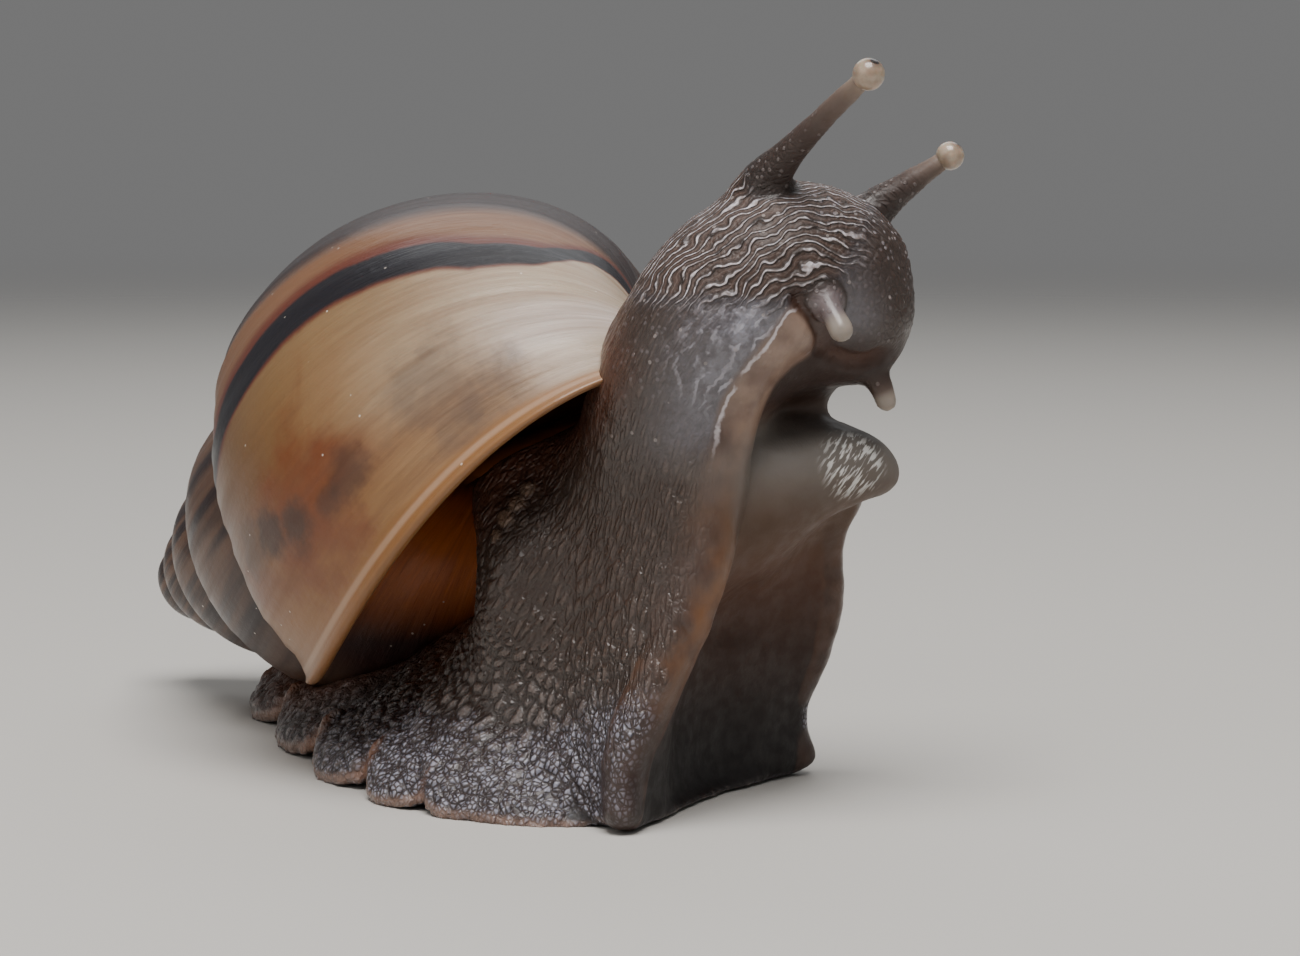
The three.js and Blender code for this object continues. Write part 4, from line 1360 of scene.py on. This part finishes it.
def wet_side(t, skin):
    """The smooth grey wet skin beside the rim, with a painted sheen and painted rippled highlights."""
    grey = t.mix(t.spread(t.fleck, 0.3, 0.7), "wet_dark", "wet_pale")
    highlit = t.spread(t.distance(t.here, WET_HIGHLIGHTS), 5.5, 2.5)
    grey = t.tint(grey, "sheen", highlit, t.spread(t.noise(t.here, 0.5, 4.0, 0.6), 0.46, 0.62), 0.6)
    lines = t.math("SINE", t.math("ADD", t.times(t.from_right, 8.0), t.times(t.noise(t.here, 0.5), 22.0)))
    broken = t.spread(t.noise(t.here, 0.9), 0.42, 0.6)
    # painted highlights: pale ripples of reflected light
    grey = t.tint(grey, "ripple", t.spread(lines, 0.3, 0.9), highlit, broken, 0.9)
    return t.mix(t.times(t.wet, 0.85), skin, grey)


def sprinkled(t, skin):
    """Small pale beads, a few white specks and a warm shade next to the shell."""
    skin = t.tint(skin, "dot", t.dots, t.beaded, 0.75)
    specks = t.math("LESS_THAN", t.cells(t.here, 0.8, "F1"), 0.11)
    skin = t.tint(skin, "skin_speck", specks, t.spread(t.z, 20, 26), 0.5)
    return t.tint(skin, "shell_shade", t.spread(t.gap, 5.0, 0.8), 0.75)


def foot_margin(t, skin):
    """Pale granules over the margin, which is pinkish, and painted orange-brown shade with light through it
    where it lifts.
    """
    grain = t.times(t.spread(t.fine_edge, 0.03, 0.3), t.spread(t.edge, 0.0, 0.1))
    skin = t.mix(t.times(t.grainy, 0.85), skin, t.mix(grain, "grain_groove", "grain"))
    height = t.math("SUBTRACT", t.z, t.times(t.notch, FRILL_LIFT))
    skin = t.tint(skin, "margin", t.spread(t.inside, 0.7, 0.1), t.spread(height, 0.95, 0.35), 0.85)
    # painted shade, with light through the thin margin, in the notches where it lifts
    skin = t.tint(skin, "margin_lifted", t.spread(t.inside, 1.5, 0.2), t.spread(t.notch, 0.3, 0.75), 0.75)
    return t.tint(skin, "blotch", t.spread(t.blotch, 0.45, 0.75), 0.35)


def raised_sole(t, skin):
    """The smooth sole between its rims, painted near black as shade towards the floor, the rims painted
    darker low and inside as shade, and a painted highlight line beside the right rim, high up.
    """
    # painted shade: the trough darkens towards the floor
    trough = t.mix(t.spread(t.z, 2, 24), "sole_low", "sole_colour")
    skin = t.mix(t.sole, skin, t.mix(t.spread(t.z, 24, 28), trough, "sole_top"))
    # painted shade: the rim band darkens low down
    band = t.mix(t.spread(t.z, 3, 15), "rim_low", "rim")
    band = t.mix(t.spread(t.z, 21, 31), band, "rim_high")
    band = t.tint(band, "rim_outside", t.spread(t.across, -0.3, -1.8), t.spread(t.z, 23, 29, 1.0, 0.4))
    # painted shade where the rim turns into the trough
    band = t.tint(band, "rim_inside", t.spread(t.across, 0.2, 1.5), 0.5)
    band = t.tint(band, "rim_left", t.rim_left, 0.7)
    band = t.mix(t.spread(t.noise(t.here, 0.5, 3.0), 0.35, 0.7), band, "rim_mottle", "MULTIPLY")
    skin = t.mix(t.times(t.rim, 0.92), skin, band)
    # painted highlight: a thin broken pale line along the right rim's edge, high up
    from_edge = t.math("ADD", t.from_right, t.spread(t.noise(t.here, 0.9, 3.0), 0.3, 0.7, -0.07, 0.07))
    highlight_line = t.times(t.fade(from_edge, 0.05, 0.12, 0.16, 0.24), t.spread(t.z, 23, 27), t.rest(t.sole))
    return t.tint(skin, "rim_border", highlight_line, t.spread(t.noise(t.here, 0.7, 3.0), 0.36, 0.54), 0.85)


def front_lobe(t, skin):
    """The smooth grey lobe under the mouth, painted darker low down as shade, with painted highlight streaks.
    """
    streak = t.combine(*(t.vector("DOT_PRODUCT", t.here, direction) for direction in STREAK_DIRECTIONS))
    highlight_dashes = t.spread(t.noise(streak, 1.0, 2.0), 0.5, 0.62)
    # painted shade: the lobe darkens low down
    smooth = t.mix(t.spread(t.z, 19, 24), "lobe_low", "lobe")
    # painted highlights: wet streaks on the lobe's dome
    smooth = t.tint(smooth, "lobe_streak", highlight_dashes, t.spread(t.distance(t.here, LOBE_SHINE), 2.9, 1.5))
    return t.mix(t.lobe, skin, smooth)


def feelers_over(t, skin):
    """The feelers, dark at the root and pale at the tip, painted shade in the creases, and the beads by the
    shell.
    """
    stem = t.ramp(t.feeler, ((0.0, "stem_root"), (0.5, "stem"), (0.8, "stem_pale"), (1.0, "stem_tip")))
    side = t.spread(t.y, LOWER_RIGHT_SIDE + 1 + SHIFT[1], LOWER_RIGHT_SIDE + SHIFT[1])
    lower = t.times(t.spread(t.z, LOWER_RIGHT_TOP + 2.5, LOWER_RIGHT_TOP), side)
    stem = t.tint(stem, "stem_lower", t.spread(t.feeler, 0.12, 0.4), lower, 0.85)
    stem = t.tint(stem, "knob", t.spread(t.feeler, 0.62, 0.8), t.spread(t.z, 37, 34))
    stem = t.tint(stem, "stem_dot", t.dots, t.spread(t.feeler, 0.7, 0.5), 0.35)
    skin = t.mix(t.spread(t.feeler, 0.0, 0.12), skin, stem)
    # painted shade in the folds
    skin = t.tint(skin, "crease", t.crease)
    return t.tint(skin, "bead", t.spread(t.bead, 0.0, 0.5), 0.7)


def skin_bump(t):
    """Cells, granules, ridges, beads and flecks, each over the one before, and little on smooth parts."""
    smooth = t.most(t.rim, t.sole, t.lobe, t.spread(t.feeler, 0.0, 0.7))
    bumpy = t.math("SUBTRACT", 1.0, t.times(smooth, 0.93), clamp=True)
    calm = t.times(bumpy, t.spread(t.z, 9, 16, 1.0, 0.45), t.spread(t.place, 0.2, 0.62, 0.4, 1.0), t.plain)
    smoother = t.times(t.rest(t.times(t.face, 0.7)), t.spread(t.z, 8, 14, 1.0, 0.5))
    beads = t.times(t.dots, t.most(t.beaded, t.spread(t.feeler, 0.02, 0.1)), t.spread(t.feeler, 0.75, 0.55))
    bump = None
    for height, depth in (
        (t.times(t.spread(t.edge, 0.0, 0.3), calm), 0.16),
        (t.times(t.spread(t.fine_edge, 0.0, 0.35), bumpy, smoother), 0.06),
        (t.times(t.spread(t.wave, 0.0, 1.0), t.ridged), 0.16),
        (beads, 0.06),
        (t.times(t.fleck, smoother), 0.04),
    ):
        bump = t.bump(height, depth * MM, bump)
    return bump


def skin_material():
    """Wet skin: pale cells in dark grooves, granules by the margin, smooth rims, sole and lobe."""
    material, t, shader = new_material("snail_skin", SkinTree)
    skin = ground(t)
    for look in (ridges_over, wet_side, sprinkled, foot_margin, raised_sole, front_lobe, feelers_over):
        skin = look(t, skin)
    t.link(skin, shader.inputs["Base Color"])
    matt = t.most(t.times(t.ridged, 0.2), t.times(t.most(t.sole, t.face), 0.25))
    shine = t.spread(t.noise(t.here, 1.1, 3.0), 0.3, 0.7, 0.28, 0.46)
    t.link(t.math("ADD", shine, matt), shader.inputs["Roughness"])
    upright = t.fade(t.z, 6, 12, 20, 26)
    dry = t.rest(t.ridged, t.sole, t.times(t.grainy, 0.85), t.times(t.face, 0.8), t.times(upright, 0.6))
    t.link(t.times(dry, 0.5), shader.inputs["Coat Weight"])
    t.link(skin_bump(t), shader.inputs["Normal"])
    set_finish(shader, {
        "Coat Roughness": 0.2, "Subsurface Weight": 0.18, "Subsurface Scale": 1.2 * MM,
        "Subsurface Radius": (1.0, 0.55, 0.35),
    })
    return material


class SNAIL_OT_skin(bpy.types.Operator):
    """Makes the skin: one closed surface over foot, raised sole, neck, head and feelers."""

    bl_idname = "snail.skin"
    bl_label = "Skin"

    def execute(self, context):
        skin = make_skin(context.scene.snail)
        dress(skin, skin_material())
        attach(skin, "root")
        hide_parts(*FLESH_NODES)
        return {"FINISHED"}


# ------------------------------------------------------------------ eyes

EYE_FIT = 0.975  # size of the modelled bulb next to the solid that it lies in


def eye_material():
    """Pale glossy bulb, a little clear, with the dark eye spot at its tip."""
    material, t, shader = new_material("eye_bulb")
    spot = t.attribute("spot")
    bulb = t.mix(t.spread(t.noise(t.millimetres(), 1.6), 0.3, 0.7), "bulb", "bulb_shade")
    bulb = t.tint(bulb, "bulb_ring", t.spread(spot, 0.9, 0.3))
    t.link(t.tint(bulb, "eye_colour", t.spread(spot, 0.38, 0.26)), shader.inputs["Base Color"])
    set_finish(shader, {
        "Roughness": 0.28, "Coat Weight": 0.6, "Coat Roughness": 0.08,
        "Subsurface Weight": 0.3, "Subsurface Scale": 0.6 * MM,
    })
    return material


class SNAIL_OT_eyes(bpy.types.Operator):
    """Makes the bulb with its eye spot at the end of each upper feeler."""

    bl_idname = "snail.eyes"
    bl_label = "Eyes"

    def execute(self, context):
        material = eye_material()
        for side, (centre, radius) in EYES.items():
            bpy.ops.object.select_all(action="DESELECT")
            bpy.ops.mesh.primitive_uv_sphere_add(segments=48, ring_count=32, radius=radius * MM)
            eye = bpy.context.object
            eye.name = eye.data.name = f"eye_bulb_{side}"
            offsets = read_vectors(eye, "co") / MM
            set_points(eye, offsets * EYE_FIT + np.array(centre))
            path = np.array(FEELERS[f"upper_{side}"], float)[:, :3]
            gaze = (path[-1] - path[-2]) / np.linalg.norm(path[-1] - path[-2]) + (0.0, 0.0, EYE_UPTURN)
            gaze /= np.linalg.norm(gaze)
            store(eye, "spot", np.arccos(np.clip(offsets @ gaze / radius, -1, 1)))
            dress(eye, material)
            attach(eye, "root")
            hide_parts(f"eye_{side}")
        return {"FINISHED"}


# ------------------------------------------------------------------ stage

CAMERA_PLACE = (184.098, -169.003, 47.0)
CAMERA_TURN = 46.0
CAMERA_DOWN = 6.0
SENSOR_WIDTH = 36.0
LIGHTS = [  # metres: name, place, aim, size, then power next to the key light's and tint
    ("key", (0.14, -0.12, 0.48), (0, 0, 0.02), (0.32, 0.32), 1.0, (1.0, 0.98, 0.96)),
    ("fill", (-0.10, -0.45, 0.22), (0, 0, 0.02), (0.4, 0.4), 1 / 9, (1.0, 0.97, 0.94)),
    ("back", (-0.28, 0.30, 0.40), (0, 0, 0.03), (0.5, 0.3), 1 / 6, (0.95, 0.98, 1.0)),
]
WORLD_GREY = 0.60
WORLD_STRENGTH = 0.3
FLOOR_SIZE = 60.0
FLOOR_SEEN = (0.2, 0.9)  # the floor fades into the world between these distances, metres


def area_light(name, place, aim, size, power, tint):
    """A soft light at a place, turned to its aim."""
    bpy.ops.object.select_all(action="DESELECT")
    bpy.ops.object.light_add(type="AREA", location=Vector(place))
    light = bpy.context.object
    light.name = name
    light.data.shape = "RECTANGLE"
    light.data.size, light.data.size_y = size
    light.data.energy = power
    light.data.color = tint
    light.rotation_euler = (Vector(aim) - Vector(place)).to_track_quat("-Z", "Y").to_euler()


def make_floor():
    """The pale floor, which fades out far from the snail."""
    bpy.ops.object.select_all(action="DESELECT")
    bpy.ops.mesh.primitive_plane_add(size=FLOOR_SIZE, location=(0, 0, 0))
    floor = bpy.context.object
    floor.name = "floor"
    material, t, shader = new_material("pale_floor")
    t.link("floor_colour", shader.inputs["Base Color"])
    set_finish(shader, {"Roughness": 0.85})
    away = t.vector("LENGTH", t.node("ShaderNodeTexCoord").outputs["Object"])
    t.link(t.spread(away, *FLOOR_SEEN, 1.0, 0.0), shader.inputs["Alpha"])
    floor.data.materials.append(material)


def make_camera(lens):
    """The camera, turned to the snail's right front and a little down."""
    turn, down = math.radians(CAMERA_TURN), math.radians(CAMERA_DOWN)
    right = Vector((math.cos(turn), math.sin(turn), 0))
    back = Vector((math.sin(turn) * math.cos(down), -math.cos(turn) * math.cos(down), math.sin(down)))
    place = (np.array(CAMERA_PLACE) + SHIFT) * MM
    bpy.ops.object.camera_add(location=place)
    camera = bpy.context.object
    camera.name = "camera"
    camera.data.lens = lens
    camera.data.sensor_width = SENSOR_WIDTH
    camera.data.clip_start = 0.01
    axes = Matrix((right, back.cross(right), back)).transposed()
    camera.matrix_world = Matrix.Translation(place) @ axes.to_4x4()
    return camera


class SNAIL_OT_stage(bpy.types.Operator):
    """Sets the pale floor, the soft lights, the world and the camera."""

    bl_idname = "snail.stage"
    bl_label = "Stage"

    def execute(self, context):
        make_floor()
        for name, place, aim, size, share, tint in LIGHTS:
            area_light(name, place, aim, size, share * context.scene.snail.key_power, tint)
        world = bpy.data.worlds.new("studio")
        context.scene.world = world
        world.use_nodes = True
        background = world.node_tree.nodes["Background"]
        set_finish(background, {"Color": (WORLD_GREY,) * 3 + (1,), "Strength": WORLD_STRENGTH})
        context.scene.camera = make_camera(context.scene.snail.lens)
        context.scene.view_settings.view_transform = "AgX"
        return {"FINISHED"}


class SNAIL_PT_panel(bpy.types.Panel):
    """Lists the snail's operators."""

    bl_idname = "SNAIL_PT_panel"
    bl_label = "Snail"
    bl_space_type = "VIEW_3D"
    bl_region_type = "UI"
    bl_category = "Snail"

    def draw(self, context):
        for name in SnailSettings.__annotations__:
            self.layout.prop(context.scene.snail, name)
        for operator in OPERATORS:
            self.layout.operator(operator.bl_idname)


OPERATORS = (SNAIL_OT_shell, SNAIL_OT_skin, SNAIL_OT_eyes, SNAIL_OT_stage)
CLASSES = (SnailSettings,) + OPERATORS + (SNAIL_PT_panel,)


def register():
    """Adds the classes and the settings."""
    for cls in CLASSES:
        bpy.utils.register_class(cls)
    bpy.types.Scene.snail = bpy.props.PointerProperty(type=SnailSettings)


def unregister():
    """Takes them away again."""
    del bpy.types.Scene.snail
    for cls in reversed(CLASSES):
        bpy.utils.unregister_class(cls)


def main():
    """Builds the snail and its stage."""
    register()
    bpy.ops.snail.shell()
    bpy.ops.snail.skin()
    bpy.ops.snail.eyes()
    bpy.ops.snail.stage()


if __name__ == "__main__":
    main()
